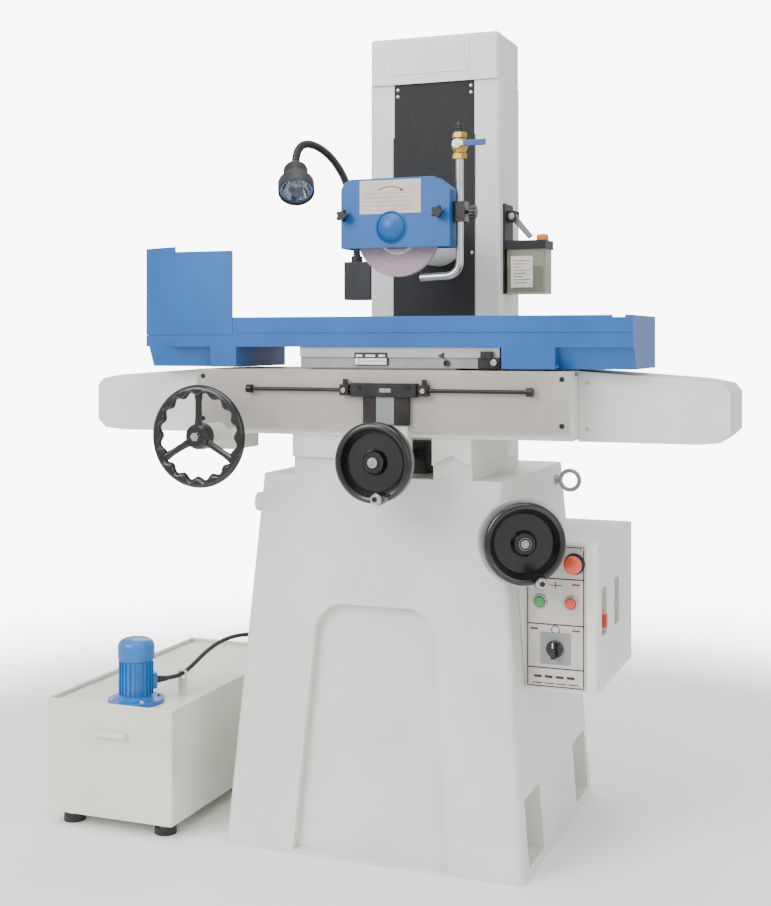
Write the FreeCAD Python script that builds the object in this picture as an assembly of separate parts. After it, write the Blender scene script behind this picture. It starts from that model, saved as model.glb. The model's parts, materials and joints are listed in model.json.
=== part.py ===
"""Manual surface grinder, 150 x 460 mm table class, as separate solids, in millimetres.

Frame: origin at the centre of the base's footprint on the floor, +X to the
operator's right, +Y away from the operator, +Z up.
"""
import FreeCAD, Part
import math
import os

# ---- driving dimensions ---------------------------------------------------
BASE_HALF_X, BASE_HALF_Y = 319.0, 302.0      # footprint on the floor
WAIST_HALF_X, WAIST_HALF_Y, WAIST_Z = 275.5, 260.0, 561.0
TOP_HALF_X, TOP_HALF_Y, BASE_TOP = 260.0, 245.0, 762.0
BOLT_X, BOLT_Y, BOLT_R = 282.0, 200.0, 9.0   # foundation bolts

COLUMN_HALF_X, COLUMN_FRONT, COLUMN_BACK = 154.0, 100.0, 263.0
COLUMN_TOP, CAP_TOP = 1621.0, 1727.0
COLUMN_WALL, COLUMN_OPENING = 28.0, 95.0     # wall, half width of the front opening

SPINDLE_X, SPINDLE_Z = 12.0, 1261.0
WHEEL_R, WHEEL_BACK, WHEEL_WIDTH = 90.0, -154.5, 13.0
HOUSING_R, SHAFT_R, BEARING_R = 55.0, 18.0, 30.0
HEAD_UP, HEAD_DOWN = 80.0, 90.0

GUARD_LEFT, GUARD_RIGHT, GUARD_BOTTOM, GUARD_TOP = -100.0, 137.0, 1229.0, 1372.0
GUARD_BACK, GUARD_FRONT, SHEET = -146.0, -200.0, 3.0

SADDLE_HALF_X, SADDLE_FRONT, SADDLE_BACK = 400.0, -272.0, 10.0
SADDLE_BOTTOM, SADDLE_TOP = 846.0, 980.0
WING_END, WING_FRONT, WING_BACK = 690.0, -200.0, -12.0
TABLE_LEFT, TABLE_RIGHT, TABLE_FRONT, TABLE_BACK = -167.0, 259.0, -262.0, -50.0
TABLE_TOP, SLAB_FRONT, SLAB_BACK = 1046.0, -225.0, -75.0
TRAY_LEFT, TRAY_RIGHT, TRAY_FRONT, TRAY_BACK, TRAY_TOP = -548.0, 520.0, -270.0, -30.0, 1087.5
TRAY_FLOOR, TRAY_FOLD, TRAY_LOW = 1026.0, 1055.0, 984.0
TRAY_CORNER_X, TRAY_CORNER_Y = -450.0, -230.0
TRAY_DEEP_LEFT, TRAY_DEEP_RIGHT = -309.0, 264.0   # inner ends of the deep troughs
SPLASH_SEAM, SPLASH_RIGHT, SPLASH_BACK = 1050.0, -317.0, -60.0

BELT_Y0, BELT_Y1, BELT_PULLEY_R, BELT_PULLEY_X, BELT_Z = -192.0, -178.0, 36.0, 640.0, 898.5
BELT_THICK, BELT_GAP = 2.0, 0.3

TABLE_WHEEL = (-348.0, -360.0, 844.0)
CROSS_WHEEL = (40.0, -370.0, 804.0)
LIFT_WHEEL = (313.0, -280.0, 650.0)
LIFT_TURN = math.radians(26.0)               # the elevating wheel faces right by this much
LIFT_SCREW_Y = 180.0

CABINET = (296.0, 436.5, -195.0, 157.0, 350.0, 645.0)
PANEL = (294.0, 414.0, -198.0, -195.0, 356.0, 639.0)
ESTOP, START, STOP, SWITCH = (392.0, 603.0), (323.0, 526.0), (385.0, 526.0), (354.0, 435.0)

TANK = (-730.0, -425.0, -335.0, 300.0, 30.0, 271.0)
PUMP_X, PUMP_Y, LID_Z = -551.0, -266.0, 262.0

CABLE_D = 9.5
CABLE_ROUTE = [(-519, -234, 306), (-498, -208, 305), (-487, -175, 308), (-485, -130, 320),
               (-484, -75, 336), (-479, -20, 347), (-465, 35, 351), (-440, 80, 347),
               (-405, 110, 337), (-362, 127, 326), (-318, 131, 316)]
GOOSENECK_D = 18.0
GOOSENECK = [(-200, 130, 1236), (-202, 128, 1300), (-208, 118, 1362), (-217, 94, 1420),
             (-243, 58, 1470), (-274, 14, 1490), (-286, -24, 1466), (-274, -51, 1426)]
LAMP_AXIS = (0.30, -0.60, -0.74)

RUN = 0.3                                    # gap between sliding faces


# ---- shape helpers --------------------------------------------------------
def vec(x, y, z):
    return FreeCAD.Vector(x, y, z)


def box(x0, x1, y0, y1, z0, z1):
    return Part.makeBox(x1 - x0, y1 - y0, z1 - z0, vec(x0, y0, z0))


def rod(radius, start, direction, length):
    return Part.makeCylinder(radius, length, vec(*start), vec(*direction))


def ring(outer, inner, start, direction, length):
    return rod(outer, start, direction, length).cut(rod(inner, start, direction, length))


def prism(points, direction):
    """Extrudes a closed polygon of (x, y, z) corners."""
    corners = [vec(*p) for p in points]
    face = Part.Face(Part.makePolygon(corners + corners[:1]))
    return face.extrude(vec(*direction))


def prism_y(points, y0, y1):
    """Extrudes an (x, z) outline from y0 to y1."""
    return prism([(x, y0, z) for x, z in points], (0, y1 - y0, 0))


def frustum(low, high):
    """Solid between two level rectangles (x0, x1, y0, y1, z)."""
    wires = []
    for x0, x1, y0, y1, z in (low, high):
        corners = [vec(x0, y0, z), vec(x1, y0, z), vec(x1, y1, z), vec(x0, y1, z)]
        wires.append(Part.makePolygon(corners + corners[:1]))
    return Part.makeLoft(wires, True, True)


def lathe(profile, base, direction):
    """Revolves (radius, height) corners about an axis through base."""
    corners = [vec(r, 0, h) for r, h in profile]
    face = Part.Face(Part.makePolygon(corners + corners[:1]))
    solid = face.revolve(vec(0, 0, 0), vec(0, 0, 1), 360)
    if solid.Volume < 0:
        solid.reverse()
    solid.Placement = FreeCAD.Placement(vec(*base), FreeCAD.Rotation(vec(0, 0, 1), vec(*direction)))
    return solid


def fuse(shapes):
    return shapes[0].fuse(shapes[1:]).removeSplitter()


def cut(shape, tools):
    return shape.cut(tools).removeSplitter()


def fillet(shape, radius, chosen):
    """Rounds the edges that chosen(edge) accepts."""
    return shape.makeFillet(radius, [edge for edge in shape.Edges if chosen(edge)])


def upright(edge):
    a, b = edge.Vertexes[0].Point, edge.Vertexes[-1].Point
    return abs(b.z - a.z) > 0.9 * edge.Length


def rounded_path(route, share=0.45, report=False):
    """Straight runs joined by tangent arcs; returns the wire."""
    points = [vec(*p) for p in route]
    edges, start, radii = [], points[0], []
    for before, here, after in zip(points, points[1:], points[2:]):
        back, ahead = before - here, after - here
        reach = share * min(back.Length, ahead.Length)
        back.normalize()
        ahead.normalize()
        arc_start, arc_end = here + back * reach, here + ahead * reach
        half_turn = (math.pi - back.getAngle(ahead)) / 2
        radius = reach / math.tan(half_turn)
        to_centre = (back + ahead).normalize()
        centre = here + to_centre * math.hypot(radius, reach)
        middle = centre - to_centre * radius
        edges.append(Part.LineSegment(start, arc_start).toShape())
        edges.append(Part.Arc(arc_start, middle, arc_end).toShape())
        start = arc_end
        radii.append(round(radius))
    edges.append(Part.LineSegment(start, points[-1]).toShape())
    if report:
        print("bend radii, mm:", radii)
    return Part.Wire(edges)


def tube_along(wire, radius, inner=0.0):
    start = wire.Edges[0].Vertexes[0].Point
    heading = wire.Edges[0].tangentAt(wire.Edges[0].FirstParameter)
    rings = [Part.Wire(Part.makeCircle(r, start, heading)) for r in (radius, inner) if r]
    solids = [wire.makePipeShell([r], True, True) for r in rings]
    return solids[0] if len(solids) == 1 else solids[0].cut(solids[1])


def save(node, *solids):
    shape = solids[0] if len(solids) == 1 else Part.makeCompound(list(solids))
    print(node, "solids", len(shape.Solids), "valid", shape.isValid(), "cm3", round(shape.Volume / 1000))
    shape.exportStep("parts/" + node + ".step")


# ---- base and column ------------------------------------------------------
def level(half_x, half_y, z):
    return (-half_x, half_x, -half_y, half_y, z)


def way_profile(lift):
    """V way in x and z; lift raises the flanks for the mating runner."""
    return [(117, 790 + lift), (157.5, 812 + lift), (198, 790 + lift)]


def lift_direction():
    return (math.sin(LIFT_TURN), -math.cos(LIFT_TURN), 0.0)


def lift_point(distance):
    """Point on the elevating shaft, this far out from the wheel's centre."""
    dx, dy, _ = lift_direction()
    return (LIFT_WHEEL[0] + dx * distance, LIFT_WHEEL[1] + dy * distance, LIFT_WHEEL[2])


def arch():
    """Outline of the recess in the front of the base, extruded through the front."""
    half_low, half_high, low, high, corner = 165.0, 125.0, 8.0, 505.0, 62.0
    outline = [(-half_low, low), (-half_high, high), (half_high, high), (half_low, low)]
    solid = prism_y(outline, -BASE_HALF_Y - 10, -WAIST_HALF_Y + 60)
    return fillet(solid, corner, lambda e: abs(e.CenterOfMass.z - high) < 1 and e.BoundBox.YLength > 50
                  and e.BoundBox.XLength < 1)


def base_outside(grow=0.0):
    """Outer form of the base, two tapers one on the other."""
    waist = level(WAIST_HALF_X + grow, WAIST_HALF_Y + grow, WAIST_Z)
    lower = frustum(level(BASE_HALF_X + grow, BASE_HALF_Y + grow, 0), waist)
    upper = frustum(waist, level(TOP_HALF_X + grow, TOP_HALF_Y + grow, BASE_TOP))
    return fuse([lower, upper])


def base_casting():
    outer = fillet(base_outside(), 14, upright)
    recess = 20.0
    behind = frustum(level(BASE_HALF_X, BASE_HALF_Y - recess, 0),
                     level(WAIST_HALF_X, WAIST_HALF_Y - recess, WAIST_Z))
    body = outer.cut(arch().cut(behind))
    cavity = frustum(level(286, 258, 0), level(232, 214, 725))
    pocket_in, foot, pocket_top, wall = 246.0, 20.0, 150.0, 16.0
    blocks, pockets = [], []
    for side in (-1, 1):
        for y in (-BOLT_Y, BOLT_Y):
            x0, x1 = sorted((side * pocket_in, side * (BASE_HALF_X + 5)))
            b0, b1 = sorted((side * (pocket_in - wall), side * (BASE_HALF_X + 5)))
            blocks.append(box(b0, b1, y - 75, y + 75, 0, pocket_top + wall))
            pockets.append(box(x0, x1, y - 58, y + 58, foot, pocket_top))
            pockets.append(rod(BOLT_R, (side * BOLT_X, y, -1), (0, 0, 1), foot + 2))
    cavity = cavity.cut(blocks)
    body = cut(body, [cavity] + pockets)
    rail_back = COLUMN_FRONT - 6
    flat_way = box(-187, -75, -TOP_HALF_Y + 1, rail_back, BASE_TOP - 5, 800)
    vee_way = prism_y([(117, BASE_TOP - 5)] + way_profile(0) + [(198, BASE_TOP - 5)],
                      -TOP_HALF_Y + 1, rail_back)
    lug = rod(20, (-TOP_HALF_X - 20, -222, 700), (1, 0, 0), 40)
    clear = box(CABINET[0] - 40, 500, CABINET[2] - 5, 300, CABINET[4] - 5, CABINET[5] + 3)
    boss = lathe([(0, -150), (58, -150), (58, -62), (74, -48), (74, -34), (0, -34)],
                 LIFT_WHEEL, lift_direction()).cut(clear).cut(cavity)
    gland = lathe([(0, 0), (13, 0), (13, 18), (8, 26.8), (0, 26.8)], (-290, 131, 316), (-1, 0, 0))
    body = fuse([body, flat_way, vee_way, lug, boss])
    bores = [rod(12.1, lift_point(-33), [-c for c in lift_direction()], 330),
             rod(16, (lift_point(-511)[0], LIFT_SCREW_Y, 700), (0, 0, 1), 100)]
    body = cut(body, bores)
    save("base_casting", body)
    save("cable_gland", gland.cut(outer))


def column():
    inner_x = COLUMN_HALF_X - COLUMN_WALL
    inner_front, inner_back = COLUMN_FRONT + COLUMN_WALL, COLUMN_BACK - COLUMN_WALL
    body = box(-COLUMN_HALF_X, COLUMN_HALF_X, COLUMN_FRONT, COLUMN_BACK, BASE_TOP, COLUMN_TOP)
    body = fillet(body, 7, upright)
    reach = HOUSING_R + 15
    openings = [box(-inner_x, inner_x, inner_front, inner_back, BASE_TOP - 1, COLUMN_TOP + 1),
                box(-COLUMN_OPENING, COLUMN_OPENING, COLUMN_FRONT - 1, inner_front + 1, 1010, COLUMN_TOP + 1),
                box(-92, 92, inner_back - 1, COLUMN_BACK + 1, SPINDLE_Z - reach - HEAD_DOWN - 6,
                    SPINDLE_Z + reach + HEAD_UP + 6)]
    save("column_casting", cut(body, openings))
    cap = box(-152, 152, COLUMN_FRONT - 4, COLUMN_BACK + 2, COLUMN_TOP, CAP_TOP)
    cap = fillet(cap, 8, lambda e: upright(e) or e.CenterOfMass.z > CAP_TOP - 1)
    inside = box(-149, 149, COLUMN_FRONT - 1, COLUMN_BACK - 1, COLUMN_TOP - 1, CAP_TOP - 3)
    save("column_cap", cut(cap, [inside]))
    shield = box(-COLUMN_OPENING + 1, COLUMN_OPENING - 1, COLUMN_FRONT, COLUMN_FRONT + 2.0, 1400, COLUMN_TOP)
    save("column_shield", shield)


def eyebolts():
    solids = []
    for side in (-1, 1):
        eye = Part.makeTorus(21.25, 4.75, vec(side * 296, 169, 728), vec(0, 1, 0))
        shank = rod(6, (side * 272, 169, 728), (-side, 0, 0), 8)
        collar = rod(11, (side * 268, 169, 728), (-side, 0, 0), 8)
        solids.append(fuse([eye, shank, collar]).cut(base_outside()))
    save("eyebolts", *solids)


# ---- saddle and its drive -------------------------------------------------
def saddle():
    body = box(-SADDLE_HALF_X, SADDLE_HALF_X, SADDLE_FRONT + 14, SADDLE_BACK, SADDLE_BOTTOM, SADDLE_TOP)
    panel = box(-SADDLE_HALF_X, SADDLE_HALF_X, SADDLE_FRONT, SADDLE_FRONT + 14, 859, SADDLE_TOP)
    runner_left = box(-187, -75, SADDLE_FRONT + 18, SADDLE_BACK, 800 + RUN, SADDLE_BOTTOM + 1)
    vee = [(117, SADDLE_BOTTOM + 1), (198, SADDLE_BOTTOM + 1)] + way_profile(RUN)[::-1]
    runner_right = prism_y(vee, SADDLE_FRONT + 18, SADDLE_BACK)
    x, y, z = TABLE_WHEEL
    gearbox = box(x - 38, x + 38, SADDLE_FRONT + 4, -162, z - 32, SADDLE_BOTTOM + 14)
    sleeve = rod(24, (x, y + 18, z), (0, 1, 0), SADDLE_FRONT - y)
    cx, cy, cz = CROSS_WHEEL
    bracket = box(cx - 34, cx + 34, SADDLE_FRONT - 6, SADDLE_FRONT + 24, cz - 34, 870)
    cross_sleeve = rod(30, (cx, cy + 42, cz), (0, 1, 0), SADDLE_FRONT - cy - 42)
    body = fuse([body, panel, runner_left, runner_right, gearbox, sleeve, bracket, cross_sleeve])
    grooves = [box(-SADDLE_HALF_X - 1, SADDLE_HALF_X + 1, y0, y0 + 26, 970, SADDLE_TOP + 1)
               for y0 in (-228, -98)]
    channel = box(-SADDLE_HALF_X - 1, SADDLE_HALF_X + 1, BELT_Y0 - 5, BELT_Y1 + 5, 852, SADDLE_TOP + 1)
    pulley_pocket = box(x - 19, x + 19, BELT_Y0 - 5, BELT_Y1 + 5, z - 19, 853)
    bores = [rod(10.05, (x, -400, z), (0, 1, 0), 400), rod(10.05, (cx, -400, cz), (0, 1, 0), 160)]
    hollow = [box(-380, -10, -165, -8, 858, 962), box(10, 380, -165, -8, 858, 962)]
    save("saddle_casting", cut(body, grooves + [channel, pulley_pocket] + bores + hollow))


def way_cover(side):
    """Sheet cover over the end of the longitudinal ways and the belt."""
    def outline(inset):
        end, low, high = WING_END - inset, SADDLE_BOTTOM - 4 + inset, SADDLE_TOP - inset
        start = SADDLE_HALF_X - (1 if inset else 0)
        return [(side * start, low), (side * start, high), (side * (end - 60), high - 16),
                (side * (end - 14), high - 24), (side * end, high - 40), (side * end, low + 22),
                (side * (end - 20), low + 4), (side * (end - 60), low)]
    shell = prism_y(outline(0), WING_FRONT, WING_BACK)
    inside = prism_y(outline(3), WING_FRONT + 3, WING_BACK - 3)
    save("way_cover_" + ("left" if side < 0 else "right"), cut(shell, [inside]))


def belt_drive():
    outer, inner = BELT_PULLEY_R + BELT_GAP + BELT_THICK, BELT_PULLEY_R + BELT_GAP
    depth = BELT_Y1 - BELT_Y0

    def loop(radius):
        ends = [rod(radius, (x, BELT_Y0, BELT_Z), (0, 1, 0), depth) for x in (-BELT_PULLEY_X, BELT_PULLEY_X)]
        bar = box(-BELT_PULLEY_X, BELT_PULLEY_X, BELT_Y0, BELT_Y1, BELT_Z - radius, BELT_Z + radius)
        return fuse(ends + [bar])

    belt = loop(outer).cut(loop(inner))
    pulleys = []
    for side in (-1, 1):
        x = side * BELT_PULLEY_X
        wheel = ring(BELT_PULLEY_R, 8, (x, BELT_Y0, BELT_Z), (0, 1, 0), depth)
        web = ring(26, 14, (x, BELT_Y0 - 1, BELT_Z), (0, 1, 0), 5)
        pin = rod(8, (x, WING_FRONT + 3, BELT_Z), (0, 1, 0), depth + 12)
        pulleys.append(fuse([wheel.cut(web), pin]))
    save("drive_belt", belt, *pulleys)
    x, y, z = TABLE_WHEEL
    shaft = rod(10, (x, y - 8, z), (0, 1, 0), -164 - y + 8)
    pulley = ring(15.6, 9, (x, BELT_Y0, z), (0, 1, 0), depth)
    save("drive_pulley", fuse([shaft, pulley]))


def trip_gear():
    y, z = SADDLE_FRONT - 11, 940.0
    bar = [rod(4, (-277, y, z), (1, 0, 0), 608)]
    for x in (-277, 331 - 12):
        bar.append(rod(8.5, (x, y, z), (1, 0, 0), 12))
        bar.append(rod(5, (x + 6, y, z), (0, 1, 0), 11))
    block = fuse([box(-42, 96, SADDLE_FRONT - 19, SADDLE_FRONT, 927, 954),
                  box(-18, 78, SADDLE_FRONT - 12, SADDLE_FRONT, 872, 928)])
    save("trip_rod", fuse(bar), cut(block, [rod(4.15, (-60, y, z), (1, 0, 0), 200)]))
    for name, x in (("trip_dog_left", -66), ("trip_dog_right", 102)):
        dog = fuse([box(x, x + 18, y - 9, y + 8, z - 11, z + 11),
                    box(x + 5, x + 13, y - 4, y + 4, z + 10, z + 22)])
        save(name, cut(dog, [rod(4.05, (x - 1, y, z), (1, 0, 0), 20)]))


# ---- table, tray and splash guard ----------------------------------------
def belt_clamp():
    low = BELT_Z + BELT_PULLEY_R + BELT_GAP + BELT_THICK + 0.2
    return fuse([box(-20, 20, BELT_Y0, BELT_Y1, low, SADDLE_TOP + 4),
                 box(-32, 32, BELT_Y0 - 2, BELT_Y1 + 2, low, low + 9)])


def table():
    body = box(TABLE_LEFT, TABLE_RIGHT, TABLE_FRONT, TABLE_BACK, SADDLE_TOP + 4, TRAY_FLOOR)
    slab = box(TABLE_LEFT - 18, TABLE_RIGHT + 16, SLAB_FRONT, SLAB_BACK, TRAY_FLOOR, TABLE_TOP)
    runners = [box(-158, 158, y0 + RUN, y0 + 26 - RUN, 970 + RUN, SADDLE_TOP + 5) for y0 in (-228, -98)]
    middle = (SLAB_FRONT + SLAB_BACK) / 2
    slot = [box(-400, 400, middle - 7, middle + 7, TABLE_TOP - 16, TABLE_TOP + 1),
            box(-400, 400, middle - 12.5, middle + 12.5, TABLE_TOP - 17, TABLE_TOP - 8)]
    step = box(-400, 400, TABLE_FRONT - 1, TABLE_FRONT + 6, SADDLE_TOP + 3, 1005)
    save("machine_table", cut(fuse([body, slab, belt_clamp()] + runners), slot + [step]))


def tray_outline(inset, z):
    """Plan of the tray with its cut front left corner, moved in by inset."""
    left, right = TRAY_LEFT + inset, TRAY_RIGHT - inset
    front, back = TRAY_FRONT + inset, TRAY_BACK - inset
    return [(left, back, z), (right, back, z), (right, front, z), (TRAY_CORNER_X + inset * 0.4, front, z),
            (left, TRAY_CORNER_Y + inset * 0.6, z)]


def sheet_ring(inset, thick, low, high):
    """Band of sheet that follows the tray's outline."""
    return prism(tray_outline(inset, low), (0, 0, high - low)).cut(
        prism(tray_outline(inset + thick, low - 1), (0, 0, high - low + 2)))


def trough(x0, x1, slope0, slope1, inset):
    """Deep end of the tray: upright walls, and a front that slopes under from slope0 to slope1."""
    low, front = TRAY_LOW + inset, TRAY_FRONT + inset
    body = box(x0 + inset, x1 - inset, front, TRAY_BACK - inset, low, TRAY_FOLD)
    under = [(slope0, front - 5, TRAY_FOLD), (slope0, front, TRAY_FOLD), (slope0, front + 30.5, low),
             (slope0, front + 30.5, low - 5), (slope0, front - 5, low - 5)]
    return body.cut(prism(under, (slope1 - slope0, 0, 0)))


def left_slope(inset):
    """Wedge that slopes the left end of the tray under."""
    x, y = TRAY_LEFT + inset, TRAY_FRONT - 5
    return prism([(x - 5, y, TRAY_FOLD - 5), (x, y, TRAY_FOLD - 5), (x + 25, y, TRAY_LOW + inset),
                  (x + 25, y, TRAY_LOW - 5), (x - 5, y, TRAY_LOW - 5)], (0, 300, 0))


def splash_tray():
    thick = 3.0
    deck = prism(tray_outline(0, TRAY_FLOOR), (0, 0, TRAY_TOP - TRAY_FLOOR))
    hem = box(TRAY_DEEP_LEFT, TRAY_RIGHT, TRAY_FRONT - 1.6, TRAY_FRONT + 1, TRAY_FOLD, TRAY_TOP)
    channel = prism(tray_outline(thick, TRAY_FLOOR + thick), (0, 0, 100))
    slopes = [(TRAY_LEFT - 10, -370), (371, TRAY_RIGHT + 10)]
    ends = [(TRAY_LEFT, TRAY_DEEP_LEFT), (TRAY_DEEP_RIGHT, TRAY_RIGHT)]
    outer = [trough(*end, *slope, 0).common(prism(tray_outline(0, 900), (0, 0, 300)))
             for end, slope in zip(ends, slopes)]
    inner = [trough(*end, *slope, thick).common(prism(tray_outline(thick, 900), (0, 0, 300)))
             for end, slope in zip(ends, slopes)]
    outer[0], inner[0] = outer[0].cut(left_slope(0)), inner[0].cut(left_slope(thick))
    seat = box(TABLE_LEFT - 18.5, TABLE_RIGHT + 16.5, SLAB_FRONT - 0.5, SLAB_BACK + 0.5, TRAY_FLOOR - 1,
               TABLE_TOP + 2)
    body_clear = box(TABLE_LEFT - 20, TABLE_RIGHT + 3, TRAY_FRONT - 1, TRAY_BACK + 1, 900, TRAY_FLOOR)
    for_guard = box(TRAY_LEFT - 10, SPLASH_RIGHT, TRAY_FRONT - 5, SPLASH_BACK, SPLASH_SEAM, TRAY_TOP + 10)
    notch = box(481, 505, TRAY_FRONT - 5, TRAY_FRONT + 5, TRAY_TOP - 7.5, TRAY_TOP + 1)
    save("splash_tray", cut(fuse([deck, hem] + outer), [channel] + inner + [seat, body_clear, for_guard, notch]))


def splash_guard():
    """Tall sheet flush with the tray's left end, with a joggled lap inside the tray's walls."""
    thick, low, high = 2.0, SPLASH_SEAM + 0.5, 1227.0
    skin = sheet_ring(0, thick, low, high + 11)
    joggle = sheet_ring(0, 3.2 + thick, low, low + thick)
    lap = sheet_ring(3.2, thick, 1034, low + 1)
    sheet = skin.fuse(joggle).fuse(lap)
    keep_front = box(TRAY_LEFT, SPLASH_RIGHT - 0.5, TRAY_FRONT, -150, 1000, high)
    keep_end = box(TRAY_LEFT, TRAY_CORNER_X - 4, TRAY_FRONT, SPLASH_BACK - 0.5, 1000, high + 11)
    save("splash_guard", sheet.common(fuse([keep_front, keep_end])))


# ---- handwheels -----------------------------------------------------------
def table_handwheel():
    x, y, z = TABLE_WHEEL
    rim = Part.makeTorus(95, 10, vec(x, y, z), vec(0, 1, 0))
    hub = lathe([(10, -14), (24, -14), (28, 4), (28, 14), (10, 14)], TABLE_WHEEL, (0, 1, 0))
    spokes = []
    for turn in (90, 210, 330):
        heading = (math.cos(math.radians(turn)), 0, math.sin(math.radians(turn)))
        start = (x + 22 * heading[0], y, z + 22 * heading[2])
        spokes.append(rod(8, start, heading, 66))
    save("table_handwheel", fuse([rim, hub] + spokes))


def dished_wheel(name, centre, facing, radius, bore, dial):
    """Dished handwheel: thick rim, thin web set back, central hub, and its dial ring behind."""
    web_back, web_front, rim_back, rim_front = -12.0, -5.0, -14.0, 14.0
    rim = radius - 15
    profile = [(bore, -16), (22, -16), (22, web_back), (rim, web_back), (rim + 3, rim_back),
                (radius - 5, rim_back), (radius, rim_back + 6), (radius, rim_front - 6),
                (radius - 5, rim_front),
                (rim + 3, rim_front), (rim, rim_front - 5), (rim - 6, web_front), (26, web_front), (20, 8),
                (bore, 8)]
    save(name, lathe(profile, centre, facing), dial)


def rim_handle(name, centre, facing, across, offset, turn):
    """Revolving handle on the rim; across is the wheel's level direction."""
    angle = math.radians(turn)
    level_part, up_part = offset * math.cos(angle), offset * math.sin(angle)
    seat = [centre[i] + level_part * across[i] + up_part * (0, 0, 1)[i] for i in range(3)]
    profile = [(0, 15), (6, 15), (6, 18), (9, 18), (13, 32), (13.5, 52), (11.5, 62), (6, 67), (0, 68)]
    save(name, lathe(profile, seat, facing))


def cross_feed():
    x, y, z = CROSS_WHEEL
    dial = ring(62, 10, (x, y + 17, z), (0, 1, 0), 24)
    dished_wheel("cross_handwheel", CROSS_WHEEL, (0, -1, 0), 79, 10, dial)
    rim_handle("cross_handle", CROSS_WHEEL, (0, -1, 0), (1, 0, 0), 68.5, -66.5)
    save("cross_screw", fuse([rod(10, (x, y - 12, z), (0, 1, 0), 124),
                              rod(9, (x, y + 100, z), (0, 1, 0), 304)]))
    nut = box(x - 26, x + 26, -140, -80, BASE_TOP, z + 24)
    save("cross_nut", cut(nut, [rod(9.05, (x, -141, z), (0, 1, 0), 80)]))


def elevating_feed():
    facing = lift_direction()
    inward = [-c for c in facing]
    across = (math.cos(LIFT_TURN), math.sin(LIFT_TURN), 0)
    dial = ring(86, 12.1, lift_point(-33.5), facing, 16)
    dished_wheel("elevating_handwheel", LIFT_WHEEL, facing, 80, 12, dial)
    rim_handle("elevating_handle", LIFT_WHEEL, facing, across, 69.5, -72)
    screw_x = lift_point(-511)[0]
    bevel = lathe([(0, 0), (20, 0), (34, 14), (34, 20), (0, 20)], lift_point(-477), facing)
    save("elevating_shaft", fuse([rod(12, lift_point(10), inward, 470), bevel]))
    gear = lathe([(0, 34), (20, 34), (34, 20), (34, 14), (0, 14)], (screw_x, LIFT_SCREW_Y, 616), (0, 0, 1))
    screw = rod(10, (screw_x, LIFT_SCREW_Y, 600), (0, 0, 1), 950)
    collar = rod(15, (screw_x, LIFT_SCREW_Y, 700), (0, 0, 1), 20)
    gear = gear.cut(rod(9, (screw_x, LIFT_SCREW_Y, 600), (0, 0, 1), 60))
    save("elevating_screw", fuse([screw, gear, collar]))


# ---- wheelhead ------------------------------------------------------------
def wheelhead():
    x, z = SPINDLE_X, SPINDLE_Z
    inner_x = COLUMN_HALF_X - COLUMN_WALL
    tongue = box(-93, 93, COLUMN_FRONT + 3, COLUMN_FRONT + COLUMN_WALL + 4, z - 110, z + 120)
    slide = box(-inner_x + 3, inner_x - 3, COLUMN_FRONT + COLUMN_WALL + RUN, 205, z - 110, z + 120)
    slide = slide.cut([box(x - 84, x + 76, 160, 206, z - 111, z - 66),
                       box(x - 84, x + 76, 160, 206, z + 66, z + 121)])
    housing = rod(HOUSING_R, (x, -141, z), (0, 1, 0), 270)
    adapter = rod(70, (x, 194, z), (0, 1, 0), 91)
    body = fuse([tongue, slide, housing, adapter])
    screw_x = lift_point(-511)[0]
    bores = [rod(BEARING_R, (x, -142, z), (0, 1, 0), 330), rod(52, (x, 180, z), (0, 1, 0), 110),
             rod(10.08, (screw_x, LIFT_SCREW_Y, z - 120), (0, 0, 1), 260)]
    save("wheelhead_casting", cut(body, bores))
    shield = box(-COLUMN_OPENING - 2, COLUMN_OPENING + 2, COLUMN_FRONT - 3, COLUMN_FRONT - 1, 960, 1500)
    save("head_shield", shield.cut(rod(HOUSING_R + 0.3, (x, COLUMN_FRONT - 10, z), (0, 1, 0), 30)))
    bearings = [ring(BEARING_R, SHAFT_R + 0.05, (x, y, z), (0, 1, 0), 15) for y in (-138, -122, 140, 156)]
    save("spindle_bearings", *bearings)
    profile = [(0, -190), (8, -190), (8, -172), (14, -172), (16, -147), (SHAFT_R, -141), (SHAFT_R, 176),
               (14, 176), (14, 286), (0, 286)]
    save("spindle_shaft", lathe(profile, (x, 0, z), (0, 1, 0)))
    front = WHEEL_BACK - WHEEL_WIDTH
    wheel = ring(WHEEL_R, 16.2, (x, front, z), (0, 1, 0), WHEEL_WIDTH)
    save("grinding_wheel", wheel)
    hole = rod(16.1, (x, -200, z), (0, 1, 0), 60)
    flanges = [rod(31, (x, WHEEL_BACK, z), (0, 1, 0), 4.5).cut(hole),
               lathe([(16.1, front), (40, front), (38, front - 5), (16.1, front - 5)], (x, 0, z), (0, 1, 0)),
                lathe([(8, front - 5), (15, front - 5), (15, front - 15), (8, front - 15)],
                      (x, 0, z), (0, 1, 0))]
    save("wheel_flanges", *flanges)
    motor = fuse([rod(80, (x, 285, z), (0, 1, 0), 165), rod(76, (x, 450, z), (0, 1, 0), 24),
                  box(x - 34, x + 34, 320, 395, z + 70, z + 112)])
    save("spindle_motor", motor.cut(rod(14.5, (x, 284, z), (0, 1, 0), 4)))


def guard_outline(inset):
    left, right = GUARD_LEFT + inset, GUARD_RIGHT - inset
    top = GUARD_TOP - inset
    return [(left, GUARD_BOTTOM), (left, top - 20), (left + 8, top - 6), (left + 22, top), (right - 34, top),
            (right, top - 26), (right, GUARD_BOTTOM)]


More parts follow.
